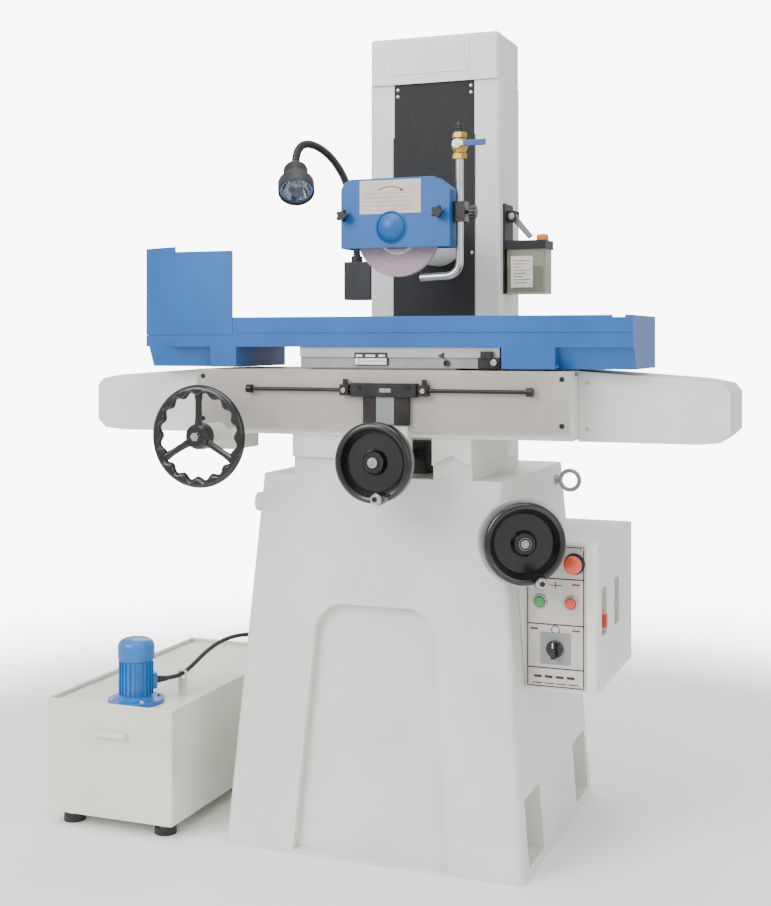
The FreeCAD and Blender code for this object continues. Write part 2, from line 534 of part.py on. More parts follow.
def wheel_guard():
    x, z = SPINDLE_X, SPINDLE_Z
    shell = prism_y(guard_outline(0), GUARD_FRONT, GUARD_BACK)
    inside = prism_y([(px, pz if pz > GUARD_BOTTOM else pz - 1) for px, pz in guard_outline(SHEET)],
                     GUARD_FRONT - 1, GUARD_BACK - SHEET)
    collar = ring(62, HOUSING_R + 0.2, (x, GUARD_BACK - 0.5, z), (0, 1, 0), 22)
    shell = cut(fuse([shell.cut(inside), collar]), [rod(42, (x, -160, z), (0, 1, 0), 30)])
    knobs = [(-90, 1296), (117, 1298)]
    posts = [rod(6, (kx, GUARD_FRONT, kz), (0, 1, 0), GUARD_BACK - 1 - GUARD_FRONT) for kx, kz in knobs]
    threads = [rod(4.05, (kx, GUARD_FRONT - 20, kz), (0, 1, 0), 50) for kx, kz in knobs]
    save("guard_shell", cut(fuse([shell] + posts), threads))
    plate = prism_y(guard_outline(0), GUARD_FRONT - SHEET, GUARD_FRONT)
    radius, height = 31.0, 18.0
    sphere_r = (radius * radius + height * height) / (2 * height)
    centre_y = GUARD_FRONT - SHEET - height + sphere_r
    ball = Part.makeSphere(sphere_r, vec(x, centre_y, z + 10))
    core = Part.makeSphere(sphere_r - SHEET, vec(x, centre_y, z + 10))
    front_of_plate = box(x - 90, x + 90, -300, GUARD_FRONT - SHEET + 0.5, z - 90, z + 110)
    dome = ball.common(front_of_plate)
    cover = fuse([plate, dome]).cut(core)
    save("guard_cover", cut(cover, threads))
    for name, (kx, kz) in zip(("guard_knob_left", "guard_knob_right"), knobs):
        start = GUARD_FRONT - SHEET
        stud = rod(4, (kx, start - 8, kz), (0, 1, 0), 36)
        head = rod(10, (kx, start - 24, kz), (0, 1, 0), 17)
        lobes = [rod(4.5, (kx + 9 * math.cos(t), start - 22, kz + 9 * math.sin(t)), (0, 1, 0), 13)
                 for t in (math.radians(72 * i) for i in range(5))]
        save(name, fuse([stud, head, rod(7, (kx, start - 8, kz), (0, 1, 0), 7.6)] + lobes))


def coolant_nozzle():
    x, y = 148.0, -170.0
    block = box(GUARD_RIGHT, x + 15, y - 14, y + 14, 1280, 1321)
    save("nozzle_clamp", cut(block, [rod(8.06, (x, y, 1270), (0, 0, 1), 60),
                                     rod(4.05, (x, y, 1300), (1, 0, 0), 20)]))
    path = rounded_path([(x, y, 1408), (x, y, 1172), (64, y, 1168)], 0.33)
    save("nozzle_pipe", tube_along(path, 8.0, 6.4))
    valve = fuse([lathe([(6.4, 0), (14, 0), (14, 12), (11, 15), (11, 17), (16, 22), (16, 36), (11, 41),
                         (11, 43),
                         (14, 46), (14, 55), (6.4, 55)], (x, y, 1408), (0, 0, 1)),
                  ring(8, 5, (x, y, 1462), (0, 0, 1), 22)])
    valve = fuse([valve, rod(7, (x, y - 10, 1437), (0, -1, 0), 10)])
    save("nozzle_valve", cut(valve, [rod(6.4, (x, y, 1400), (0, 0, 1), 60)]))
    lever = fuse([rod(9, (x, y - 20.3, 1437), (0, -1, 0), 5), box(x, x + 62, y - 25, y - 21, 1432, 1442)])
    save("valve_lever", lever)
    knob = fuse([rod(4, (x + 9.5, y, 1300), (1, 0, 0), 14), rod(14, (x + 21, y, 1300), (1, 0, 0), 15)])
    save("nozzle_knob", knob)


# ---- electrics, lubricator and lamp --------------------------------------
def electrics():
    x0, x1, y0, y1, z0, z1 = CABINET
    inner_x = x0 - 34
    shell = fillet(box(inner_x, x1, y0, y1, z0, z1), 6, upright)
    windows = [box(x1 - 12, x1 + 1, a, a + 48, 455, 550) for a in (-154, -30)]
    posts = [box(x1 - 16, x1 - 3, a - 3, a + 51, 452, 553) for a in (-154, -30)]
    inside = box(inner_x - 1, x1 - 3, y0 + 3, y1 - 3, z0 + 3, z1 - 3).cut(posts)
    shaft_room = rod(14, LIFT_WHEEL, [-c for c in lift_direction()], 200)
    body = cut(shell, [inside, base_outside(0.5), shaft_room] + windows)
    switches = [(ESTOP, 8.1), (START, 10.4), (STOP, 10.4), (SWITCH, 5.1)]
    holes = [rod(r, (px, PANEL[2] - 1, pz), (0, 1, 0), 60) for (px, pz), r in switches]
    save("electrical_cabinet", cut(body, holes))
    front = PANEL[2]
    collars = [ring(21, 8.1, (ESTOP[0], front, ESTOP[1]), (0, -1, 0), 3)]
    collars += [ring(13, 10.4, (px, front, pz), (0, -1, 0), 5) for px, pz in (START, STOP)]
    sx, sz = SWITCH
    collars.append(box(sx - 30, sx + 30, front - 3, front, sz - 31, sz + 31)
                   .cut(rod(5.1, (sx, front - 4, sz), (0, 1, 0), 10)))
    save("control_panel", cut(box(*PANEL), holes), *collars)
    mushroom = [(0, -30), (8, -30), (8, 11), (18, 14), (18, 18), (14, 22), (0, 24)]
    save("estop_button", lathe(mushroom, (ESTOP[0], front, ESTOP[1]), (0, -1, 0)))
    cap = [(0, -30), (7, -30), (7, -9), (10, -9), (10, 8), (8.5, 9.5), (0, 9.5)]
    save("start_button", lathe(cap, (START[0], front, START[1]), (0, -1, 0)))
    save("stop_button", lathe(cap, (STOP[0], front, STOP[1]), (0, -1, 0)))
    knob = fuse([rod(5, (sx, front + 25, sz), (0, -1, 0), 30), rod(17, (sx, front - 3.4, sz), (0, -1, 0), 6),
                 box(sx - 5, sx + 5, front - 24, front - 5, sz - 17, sz + 17)])
    save("switch_knob", knob)
    lever = fuse([rod(5, (x1 - 6, -142, 498), (0, 1, 0), 24), box(x1 - 9, x1 + 6, -136, -124, 470, 496)])
    save("breaker_lever", lever)


def lubricator():
    x0, y0, y1 = COLUMN_HALF_X, 125.0, 195.0
    plate = box(x0, x0 + 4, y0, y1, 1143, 1345)
    head = box(x0, 252, y0, y1, 1242.5, 1262)
    ears = [box(x0 + 4, 178, y, y + 6, 1306, 1330) for y in (144, 170)]
    filler = lathe([(0, 0), (13, 0), (13, 10), (10, 14), (0, 14)], (236, 160, 1262), (0, 0, 1))
    pin = rod(4, (168, 144, 1318), (0, 1, 0), 32)
    save("lubricator_body", fuse([plate, head] + ears + [filler, pin]))
    tank = fillet(box(160, 250, y0 + 2, y1 - 2, 1143, 1242.4), 8, upright)
    save("lubricator_reservoir", cut(tank, [box(163, 247, y0 + 5, y1 - 5, 1146, 1250)]))
    arm = fuse([rod(9, (168, 151, 1318), (0, 1, 0), 18),
                prism([(162, 154, 1314), (174, 154, 1322), (213, 154, 1274), (204, 154, 1268)], (0, 12, 0))])
    save("lubricator_lever", cut(arm, [rod(4.05, (168, 150, 1318), (0, 1, 0), 20)]))


def work_lamp():
    body = fillet(box(-224, -COLUMN_HALF_X, 106, 162, 1133, 1221), 5, upright)
    socket = ring(13, 6.05, (-200, 130, 1221), (0, 0, 1), 14)
    pocket = rod(6.05, (-200, 130, 1200), (0, 0, 1), 30)
    save("lamp_box", cut(fuse([body, socket]), [pocket]))
    neck = tube_along(rounded_path(GOOSENECK), GOOSENECK_D / 2)
    save("lamp_arm", fuse([neck, rod(6, (-200, 130, 1205), (0, 0, 1), 32)]))
    top = GOOSENECK[-1]
    profile = [(9.3, -6), (20, 2), (26, 12), (27, 40), (40, 56), (40, 86), (37, 86), (37, 58), (24, 42),
               (23, 14),
               (9.3, 6)]
    lamp = lathe([(0, 8), (20, 14), (22, 40), (33, 60), (33, 66), (0, 66)], top, LAMP_AXIS)
    save("lamp_head", lathe(profile, top, LAMP_AXIS), lamp)


# ---- coolant tank and pump ------------------------------------------------
def coolant_tank():
    x0, x1, y0, y1, z0, z1 = TANK
    shell = fillet(box(x0, x1, y0, y1, z0, z1), 6, upright)
    shell = shell.cut(box(x0 + 2.5, x1 - 2.5, y0 + 2.5, y1 - 2.5, z0 + 2.5, z1 + 1))
    pull = fillet(box(-608, -532, y0 - 14, y0 + 1, 203, 214), 4,
                  lambda e: abs(e.CenterOfMass.y - y0 + 14) < 1)
    feet = []
    for x in (x0 + 40, x1 - 40):
        for y in (y0 + 45, y1 - 45):
            feet.append(fuse([rod(15, (x, y, 8), (0, 0, 1), z0 - 8), rod(22, (x, y, 0), (0, 0, 1), 10)]))
    save("tank_shell", fuse([shell, pull] + feet))
    lid = box(x0 + 3, x1 - 3, y0 + 3, y1 - 3, LID_Z - 3, LID_Z)
    lid = lid.cut(rod(36.5, (PUMP_X, PUMP_Y, LID_Z - 5), (0, 0, 1), 10))
    clip = box(-497, -477, -180, -177, LID_Z, LID_Z + 54).cut(rod(8, (-487.3, -190, 306.5), (0, 1, 0), 30))
    save("tank_lid", fuse([lid, clip]))
    base = (PUMP_X, PUMP_Y, LID_Z)
    body = lathe([(5.3, -195), (30, -195), (36, -190), (36, 0), (60, 0), (60, 9), (38, 12), (38, 100),
                  (39, 104),
                  (39, 122), (34, 134), (0, 138), (0, 30), (5.3, 30)], base, (0, 0, 1))
    chamber = rod(28, (PUMP_X, PUMP_Y, 62), (0, 0, 1), 40)
    box_turn = FreeCAD.Rotation(vec(0, 0, 1), 45)
    terminal = Part.makeBox(11, 30, 34, vec(31, -15, 27))
    terminal.Placement = FreeCAD.Placement(vec(*base), box_turn)
    exit_point = vec(*CABLE_ROUTE[0])
    heading = (vec(*CABLE_ROUTE[1]) - exit_point).normalize()
    nipple = Part.makeCylinder(7, 16, exit_point - heading * 16, heading)
    save("pump_motor", fuse([cut(body, [chamber]), terminal, nipple]))
    rotor = fuse([rod(5, (PUMP_X, PUMP_Y, 68), (0, 0, 1), 222), rod(25, (PUMP_X, PUMP_Y, 74), (0, 0, 1), 14)])
    save("pump_rotor", rotor)
    wire = rounded_path(CABLE_ROUTE, report=True)
    cable = tube_along(wire, CABLE_D / 2)
    section = math.pi * CABLE_D * CABLE_D / 4
    print("cable length, mm:", round(wire.Length), "volume ratio:",
          round(cable.Volume / (section * wire.Length), 4))
    save("pump_cable", cable)


def main():
    os.makedirs("parts", exist_ok=True)
    base_casting()
    column()
    eyebolts()
    saddle()
    way_cover(-1)
    way_cover(1)
    belt_drive()
    trip_gear()
    table()
    splash_tray()
    splash_guard()
    table_handwheel()
    cross_feed()
    elevating_feed()
    wheelhead()
    wheel_guard()
    coolant_nozzle()
    electrics()
    lubricator()
    work_lamp()
    coolant_tank()


main()
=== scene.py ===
"""Looks of a manual surface grinder: finishes, turned and pressed detail, and its coolant cable."""

import json
import logging
import math
from dataclasses import dataclass
from enum import Enum
from typing import Callable, Iterable, Optional, Sequence

import bmesh
import bpy
from mathutils import Matrix, Vector

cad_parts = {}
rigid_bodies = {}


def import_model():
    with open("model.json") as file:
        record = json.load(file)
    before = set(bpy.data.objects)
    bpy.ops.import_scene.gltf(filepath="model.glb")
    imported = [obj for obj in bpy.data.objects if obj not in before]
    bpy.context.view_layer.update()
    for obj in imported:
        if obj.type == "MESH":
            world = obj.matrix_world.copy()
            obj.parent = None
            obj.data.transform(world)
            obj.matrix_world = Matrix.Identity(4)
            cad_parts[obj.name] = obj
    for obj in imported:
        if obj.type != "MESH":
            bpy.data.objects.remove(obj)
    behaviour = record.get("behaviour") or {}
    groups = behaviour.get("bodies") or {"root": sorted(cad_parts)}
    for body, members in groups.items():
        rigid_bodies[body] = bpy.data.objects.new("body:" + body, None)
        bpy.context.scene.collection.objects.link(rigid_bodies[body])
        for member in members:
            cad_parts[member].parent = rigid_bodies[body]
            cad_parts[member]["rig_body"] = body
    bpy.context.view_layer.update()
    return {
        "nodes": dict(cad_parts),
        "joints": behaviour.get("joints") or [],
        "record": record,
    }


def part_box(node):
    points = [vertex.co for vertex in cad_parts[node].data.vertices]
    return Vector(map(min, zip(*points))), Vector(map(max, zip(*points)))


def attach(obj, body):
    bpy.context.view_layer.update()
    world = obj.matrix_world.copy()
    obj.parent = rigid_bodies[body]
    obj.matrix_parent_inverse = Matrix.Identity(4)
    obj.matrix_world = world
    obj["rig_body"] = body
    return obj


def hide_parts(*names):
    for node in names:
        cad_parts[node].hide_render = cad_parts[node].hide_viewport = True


LOG = logging.getLogger("surface_grinder")
MM = 0.001
Material = bpy.types.Material
BMesh = bmesh.types.BMesh
SHARP = math.radians(32)
CREASE = math.radians(3)
BROAD = 0.005            # square metres
PLATE_FRONT_LOW = 0.859  # metres: bottom of the saddle's ground front plate

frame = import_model()
JOINTS = {joint["name"]: joint for joint in frame["joints"]}


class Side(Enum):
    """Left or right of the operator."""

    LEFT = -1
    RIGHT = 1


class Axis(Enum):
    """Directions that turned pieces stand along."""

    X = (1, 0, 0)
    TO_OPERATOR = (0, -1, 0)
    TO_BACK = (0, 1, 0)
    UP = (0, 0, 1)


# ---- small tools ----------------------------------------------------------
def mm(*values: float) -> Vector:
    """A point given in millimetres, in metres."""
    return Vector(values) * MM


def linear(colour: str) -> tuple[float, float, float, float]:
    """Turns an sRGB hex colour into linear RGBA.

    Args:
        colour: six hex digits, such as "D8DDD6".
    Returns:
        Red, green, blue and an alpha of 1.
    """
    parts = [int(colour[i:i + 2], 16) / 255 for i in (0, 2, 4)]
    red, green, blue = [c / 12.92 if c <= 0.04045 else ((c + 0.055) / 1.055) ** 2.4 for c in parts]
    return red, green, blue, 1.0


def add(tree: bpy.types.NodeTree, kind: str, values: Optional[dict] = None, links: Optional[dict] = None,
        **settings) -> bpy.types.Node:
    """Adds one node.

    Args:
        tree: the shader or geometry tree.
        kind: the node's type name.
        values: input name or number to value.
        links: input name or number to the output socket that feeds it.
        settings: the node's own settings.
    Returns:
        The new node.
    """
    made = tree.nodes.new(kind)
    for key, value in settings.items():
        setattr(made, key, value)
    for key, value in (values or {}).items():
        made.inputs[key].default_value = value
    for key, source in (links or {}).items():
        tree.links.new(source, made.inputs[key])
    return made


def mark_smooth(bm: BMesh, angle: float = SHARP) -> None:
    """Shades a mesh smooth, but for its sharp edges and the creases between broad faces.

    Args:
        bm: the mesh.
        angle: edges that turn more than this, in radians, stay sharp.
    """
    for face in bm.faces:
        face.smooth = True
    broad = {face for face in bm.faces if face.calc_area() > BROAD}
    for edge in bm.edges:
        turn = edge.calc_face_angle(math.pi)
        crease = turn > CREASE and all(face in broad for face in edge.link_faces)
        edge.smooth = turn < angle and not crease


def weigh_normals(piece: bpy.types.Object) -> None:
    """Lets broad faces set the shading, so that they stay flat up to their rounded edges.

    Args:
        piece: a mesh object; its mesh is replaced.
    """
    modifier = piece.modifiers.new("weigh", "WEIGHTED_NORMAL")
    modifier.keep_sharp = True
    modifier.weight = 90
    bpy.context.view_layer.update()
    mesh = bpy.data.meshes.new_from_object(piece.evaluated_get(bpy.context.evaluated_depsgraph_get()))
    plain, mesh.name = piece.data, piece.data.name + "_shaded"
    piece.modifiers.clear()
    piece.data = mesh
    bpy.data.meshes.remove(plain)


def settle(name: str, bm: BMesh, body: str, material: Material,
           stands_for: Sequence[str] = (), slot: Optional[str] = None) -> bpy.types.Object:
    """Turns a bmesh into a finished piece that rides on a body.

    Args:
        name: the piece's name.
        bm: the mesh, in the object's frame; it is freed.
        body: the moving body that carries the piece.
        material: its finish.
        stands_for: plain solids that it takes the place of.
        slot: the material slot, where it isn't that of the first solid replaced; not used.
    Returns:
        The new object.
    """
    mark_smooth(bm)
    mesh = bpy.data.meshes.new(name)
    bm.to_mesh(mesh)
    bm.free()
    mesh.materials.append(material)
    piece = bpy.data.objects.new(name, mesh)
    bpy.context.scene.collection.objects.link(piece)
    weigh_normals(piece)
    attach(piece, body)
    if stands_for:
        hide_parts(*stands_for)
    LOG.info("%s on %s", name, body)
    return piece


def stand(name: str, bm: BMesh, base: Vector, axis: Sequence[float], *rest: object,
          **named: object) -> bpy.types.Object:
    """Places a mesh that was built along +Z, then settles it.

    Args:
        name: the piece's name.
        bm: the mesh, which is freed.
        base: where its origin goes.
        axis: the direction that its +Z turns to.
        rest, named: body, material and the rest, as settle takes them.
    Returns:
        The new object.
    """
    place(bm, base, axis)
    return settle(name, bm, *rest, **named)


def body_of(node: str) -> str:
    """The body that a solid belongs to."""
    return frame["nodes"][node]["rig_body"]


def round_edges(bm: BMesh, width: float, segments: int = 2) -> None:
    """Rounds the sharp edges of a mesh by width, in metres."""
    edges = [e for e in bm.edges if e.is_manifold and e.calc_face_angle(0) > SHARP]
    if width and edges:
        bmesh.ops.bevel(bm, geom=edges, offset=width, segments=segments, profile=0.6, affect="EDGES",
                        clamp_overlap=True)


def finished(node: str, material: Material, edge_mm: float = 0.8) -> bpy.types.Object:
    """A solid's own shape with rounded edges and a finish.

    Args:
        node: the solid.
        material: its finish.
        edge_mm: radius of its rounded edges.
    Returns:
        The piece that stands for the solid.
    """
    bm = bmesh.new()
    bm.from_mesh(frame["nodes"][node].data)
    bmesh.ops.remove_doubles(bm, verts=bm.verts, dist=1e-5)
    bmesh.ops.dissolve_limit(bm, angle_limit=math.radians(0.8), verts=bm.verts, edges=bm.edges)
    round_edges(bm, edge_mm * MM)
    return settle(node + "_finished", bm, body_of(node), material, [node])


def place(bm: BMesh, base: Vector, axis: Sequence[float]) -> None:
    """Moves a mesh built along +Z so that it stands on base along axis."""
    turn = Vector((0, 0, 1)).rotation_difference(Vector(axis)).to_matrix().to_4x4()
    bmesh.ops.transform(bm, matrix=Matrix.Translation(base) @ turn, verts=bm.verts)


def turned(profile: Sequence[tuple[float, float]], steps: int = 64) -> BMesh:
    """Revolves a profile about Z into a closed mesh.

    Args:
        profile: its (radius, height) corners, in millimetres.
        steps: faces around.
    Returns:
        The mesh.
    """
    bm = bmesh.new()
    corners = [bm.verts.new(mm(r, 0, h)) for r, h in profile]
    edges = [bm.edges.new(pair) for pair in zip(corners, corners[1:])]
    bmesh.ops.spin(bm, geom=corners + edges, cent=(0, 0, 0), axis=(0, 0, 1), angle=2 * math.pi, steps=steps,
                   use_duplicate=False)
    bmesh.ops.remove_doubles(bm, verts=bm.verts, dist=1e-6)
    bmesh.ops.recalc_face_normals(bm, faces=bm.faces)
    return bm


def lofted(heights: Sequence[tuple[float, float]], radius: Callable[[float], float],
           steps: int) -> BMesh:
    """Closed lobed knob about Z.

    Args:
        heights: (height in millimetres, share of the full radius) of each level.
        radius: the full radius, in millimetres, at an angle.
        steps: corners in each level.
    Returns:
        The mesh.
    """
    bm = bmesh.new()
    angles = [2 * math.pi * i / steps for i in range(steps)]
    rings = [[bm.verts.new(mm(radius(a) * share * math.cos(a), radius(a) * share * math.sin(a), height))
              for a in angles] for height, share in heights]
    for lower, upper in zip(rings, rings[1:]):
        for i in range(steps):
            after = (i + 1) % steps
            bm.faces.new((lower[i], lower[after], upper[after], upper[i]))
    bm.faces.new(rings[0])
    bm.faces.new(rings[-1][::-1])
    bmesh.ops.recalc_face_normals(bm, faces=bm.faces)
    return bm


def block(low: Vector, high: Vector, edge_mm: float = 0.8, segments: int = 2) -> BMesh:
    """A box between two corners, in metres, with rounded edges."""
    bm = bmesh.new()
    bmesh.ops.create_cube(bm, size=1)
    size, middle = high - low, (high + low) / 2
    bmesh.ops.transform(bm, matrix=Matrix.Translation(middle) @ Matrix.Diagonal((*size, 1)), verts=bm.verts)
    round_edges(bm, edge_mm * MM, segments)
    return bm


def join(parts: Iterable[BMesh]) -> BMesh:
    """Puts several meshes into one, leaving each closed.

    Args:
        parts: the meshes, which are freed.
    Returns:
        One mesh.
    """
    whole = bmesh.new()
    for part in parts:
        mesh = bpy.data.meshes.new("part")
        part.to_mesh(mesh)
        part.free()
        whole.from_mesh(mesh)
        bpy.data.meshes.remove(mesh)
    return whole


def flat_shape(outline: Sequence[tuple[float, float]], y: float, thick: float) -> BMesh:
    """A thin plate that faces the operator.

    Args:
        outline: its (x, z) corners, in millimetres.
        y: where its front is.
        thick: how thick it is, in millimetres.
    Returns:
        The mesh.
    """
    bm = bmesh.new()
    face = bm.faces.new([bm.verts.new(mm(x, y, z)) for x, z in outline])
    grown = bmesh.ops.extrude_face_region(bm, geom=[face])
    bmesh.ops.translate(bm, vec=mm(0, thick, 0),
                        verts=[v for v in grown["geom"] if isinstance(v, bmesh.types.BMVert)])
    bmesh.ops.recalc_face_normals(bm, faces=bm.faces)
    return bm


def strip(points: Sequence[tuple[float, float]], width: float, y: float, thick: float = 0.4) -> BMesh:
    """A printed line on a face towards the operator.

    Args:
        points: the (x, z) corners that it runs through, in millimetres.
        width: of the line, in millimetres.
        y: where its front is.
        thick: how thick it is, in millimetres.
    Returns:
        The mesh, one plate for each stretch.
    """
    parts = []
    for (x0, z0), (x1, z1) in zip(points, points[1:]):
        along = Vector((x1 - x0, z1 - z0)).normalized() * width / 2
        side = Vector((-along.y, along.x))
        a, b = Vector((x0, z0)) - along * 0.5, Vector((x1, z1)) + along * 0.5
        parts.append(flat_shape([tuple(a + side), tuple(b + side), tuple(b - side), tuple(a - side)], y,
                                thick))
    return join(parts)


def tube(points: Sequence[Vector], radius: float, name: str, material: Material) -> bpy.types.Object:
    """A smooth round rod along points, as a curve object.

    Args:
        points: control points, in metres.
        radius: of the rod, in metres.
        name: the object's name.
        material: its finish.
    Returns:
        The curve object.
    """
    curve = bpy.data.curves.new(name, "CURVE")
    curve.dimensions = "3D"
    curve.bevel_depth = radius
    curve.bevel_resolution = 6
    curve.use_fill_caps = True
    spline = curve.splines.new("NURBS")
    spline.points.add(len(points) - 1)
    for control, point in zip(spline.points, points):
        control.co = (*point, 1)
    spline.order_u = 3
    spline.use_endpoint_u = True
    spline.resolution_u = 12
    curve.materials.append(material)
    piece = bpy.data.objects.new(name, curve)
    bpy.context.scene.collection.objects.link(piece)
    return piece


def line_points(piece: bpy.types.Object) -> list[Vector]:
    """Points along a curve object's smooth centreline.

    Args:
        piece: the curve object.
    Returns:
        The points, from its first end.
    """
    depth, piece.data.bevel_depth = piece.data.bevel_depth, 0
    bpy.context.view_layer.update()
    evaluated = piece.evaluated_get(bpy.context.evaluated_depsgraph_get())
    mesh = bpy.data.meshes.new_from_object(evaluated)
    points = [v.co.copy() for v in mesh.vertices]
    bpy.data.meshes.remove(mesh)
    piece.data.bevel_depth = depth
    return points


# ---- geometry nodes -------------------------------------------------------
def copies_tree() -> bpy.types.NodeTree:
    """Places a copy of one object on each point, its Z along the point's facing and its X along Along."""
    tree = bpy.data.node_groups.new("place_copies", "GeometryNodeTree")
    for name, kind, way in (("Geometry", "NodeSocketGeometry", "INPUT"),
                            ("Copy", "NodeSocketObject", "INPUT"),
                            ("Along", "NodeSocketVector", "INPUT"), ("Finish", "NodeSocketMaterial", "INPUT"),
                            ("Geometry", "NodeSocketGeometry", "OUTPUT")):
        tree.interface.new_socket(name, in_out=way, socket_type=kind)
    given = add(tree, "NodeGroupInput").outputs
    copy = add(tree, "GeometryNodeObjectInfo", {"As Instance": True}, {"Object": given["Copy"]})
    facing = add(tree, "GeometryNodeInputNamedAttribute", {"Name": "facing"}, data_type="FLOAT_VECTOR")
    up = add(tree, "FunctionNodeAlignRotationToVector", None, {"Vector": facing.outputs["Attribute"]},
             axis="Z")
    along = add(tree, "FunctionNodeAlignRotationToVector", None,
                {"Rotation": up.outputs[0], "Vector": given["Along"]}, axis="X", pivot_axis="Z")
    placed = add(tree, "GeometryNodeInstanceOnPoints", None,
                 {"Points": given["Geometry"], "Instance": copy.outputs["Geometry"],
                  "Rotation": along.outputs[0]})
    real = add(tree, "GeometryNodeRealizeInstances", None, {"Geometry": placed.outputs[0]})
    dressed = add(tree, "GeometryNodeSetMaterial", None,
                  {"Geometry": real.outputs[0], "Material": given["Finish"]})
    add(tree, "NodeGroupOutput", None, {"Geometry": dressed.outputs[0]})
    return tree


def wavy_rim_tree() -> bpy.types.NodeTree:
    """A handwheel rim about Z whose inner side swells into rounded finger grips."""
    tree = bpy.data.node_groups.new("wavy_rim", "GeometryNodeTree")
    for name, kind, way in (("Radius", "NodeSocketFloat", "INPUT"), ("Thickness", "NodeSocketFloat", "INPUT"),
                            ("Grips", "NodeSocketFloat", "INPUT"), ("Depth", "NodeSocketFloat", "INPUT"),
                            ("Finish", "NodeSocketMaterial", "INPUT"), ("Geometry", "NodeSocketGeometry",
                                                                        "OUTPUT")):
        tree.interface.new_socket(name, in_out=way, socket_type=kind)
    given = add(tree, "NodeGroupInput").outputs
    path = add(tree, "GeometryNodeCurvePrimitiveCircle", {"Resolution": 240}, {"Radius": given["Radius"]})
    section = add(tree, "GeometryNodeCurvePrimitiveCircle", {"Resolution": 24},
                  {"Radius": given["Thickness"]})
    rim = add(tree, "GeometryNodeCurveToMesh", None,
              {"Curve": path.outputs["Curve"], "Profile Curve": section.outputs["Curve"]})
    place_of = add(tree, "ShaderNodeSeparateXYZ", None,
                   {"Vector": add(tree, "GeometryNodeInputPosition").outputs[0]})
    angle = add(tree, "ShaderNodeMath", None, {0: place_of.outputs["Y"], 1: place_of.outputs["X"]},
                operation="ARCTAN2")
    turns = add(tree, "ShaderNodeMath", None, {0: angle.outputs[0], 1: given["Grips"]}, operation="MULTIPLY")
    wave = add(tree, "ShaderNodeMath", None, {0: turns.outputs[0]}, operation="COSINE")
    flat = add(tree, "ShaderNodeCombineXYZ", None, {"X": place_of.outputs["X"], "Y": place_of.outputs["Y"]})
    outward = add(tree, "ShaderNodeVectorMath", None, {0: flat.outputs[0]}, operation="NORMALIZE")
    distance = add(tree, "ShaderNodeVectorMath", None, {0: flat.outputs[0]}, operation="LENGTH")
    inside = add(tree, "ShaderNodeMath", None, {0: distance.outputs["Value"], 1: given["Radius"]},
                 operation="LESS_THAN")
    swell = add(tree, "ShaderNodeMath", None, {0: wave.outputs[0], 1: given["Depth"]}, operation="MULTIPLY")
    chosen = add(tree, "ShaderNodeMath", None, {0: swell.outputs[0], 1: inside.outputs[0]},
                 operation="MULTIPLY")
    push = add(tree, "ShaderNodeVectorMath", None, {0: outward.outputs[0], "Scale": chosen.outputs[0]},
               operation="SCALE")
    moved = add(tree, "GeometryNodeSetPosition", None,
                {"Geometry": rim.outputs[0], "Offset": push.outputs[0]})
    real = add(tree, "GeometryNodeRealizeInstances", None, {"Geometry": moved.outputs[0]})
    dressed = add(tree, "GeometryNodeSetMaterial", None,
                  {"Geometry": real.outputs[0], "Material": given["Finish"]})
    add(tree, "NodeGroupOutput", None, {"Geometry": dressed.outputs[0]})
    return tree


def grown_mesh(tree: bpy.types.NodeTree, start: bpy.types.Mesh, inputs: dict) -> bpy.types.Mesh:
    """Runs a geometry tree on a mesh and returns the plain result.

    Args:
        tree: the geometry tree.
        start: the mesh that it works on.
        inputs: input name to value.
    Returns:
        A new mesh with no instances left in it.
    """
    holder = bpy.data.objects.new("holder", start)
    bpy.context.scene.collection.objects.link(holder)
    modifier = holder.modifiers.new("grow", "NODES")
    modifier.node_group = tree
    for item in tree.interface.items_tree:
        if item.in_out == "INPUT" and item.name in inputs:
            modifier[item.identifier] = inputs[item.name]
    bpy.context.view_layer.update()
    mesh = bpy.data.meshes.new_from_object(holder.evaluated_get(bpy.context.evaluated_depsgraph_get()))
    bpy.data.objects.remove(holder)
    return mesh


def copies(name: str, pattern: BMesh, spots: Sequence[tuple[Vector, Vector]], body: str,
           material: Material, along: Sequence[float] = (0, 0, 1)) -> bpy.types.Object:
    """Repeats one small mesh, built standing along +Z, at each spot.

    Args:
        name: the piece's name.
        pattern: the mesh to repeat; it is freed.
        spots: place and facing of each copy.
        body: the body that carries them.
        material: their finish.
        along: the direction that each copy's X turns towards.
    Returns:
        One piece with every copy in it.
    """
    mark_smooth(pattern)
    shape = bpy.data.meshes.new(name + "_one")
    pattern.to_mesh(shape)
    pattern.free()
    one = bpy.data.objects.new(name + "_one", shape)
    bpy.context.scene.collection.objects.link(one)
    start = bpy.data.meshes.new(name + "_spots")
    start.from_pydata([tuple(p) for p, _ in spots], [], [])
    facing = start.attributes.new("facing", "FLOAT_VECTOR", "POINT")
    for item, (_, direction) in zip(facing.data, spots):
        item.vector = direction
    mesh = grown_mesh(COPIES, start, {"Copy": one, "Along": tuple(along), "Finish": material})
    bpy.data.objects.remove(one)
    for extra in [a.name for a in mesh.attributes if a.name == "facing"]:
        mesh.attributes.remove(mesh.attributes[extra])
    mesh.name = name
    piece = bpy.data.objects.new(name, mesh)
    bpy.context.scene.collection.objects.link(piece)
    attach(piece, body)
    LOG.info("%s: %d copies on %s", name, len(spots), body)
    return piece


COPIES = copies_tree()
WAVY_RIM = wavy_rim_tree()


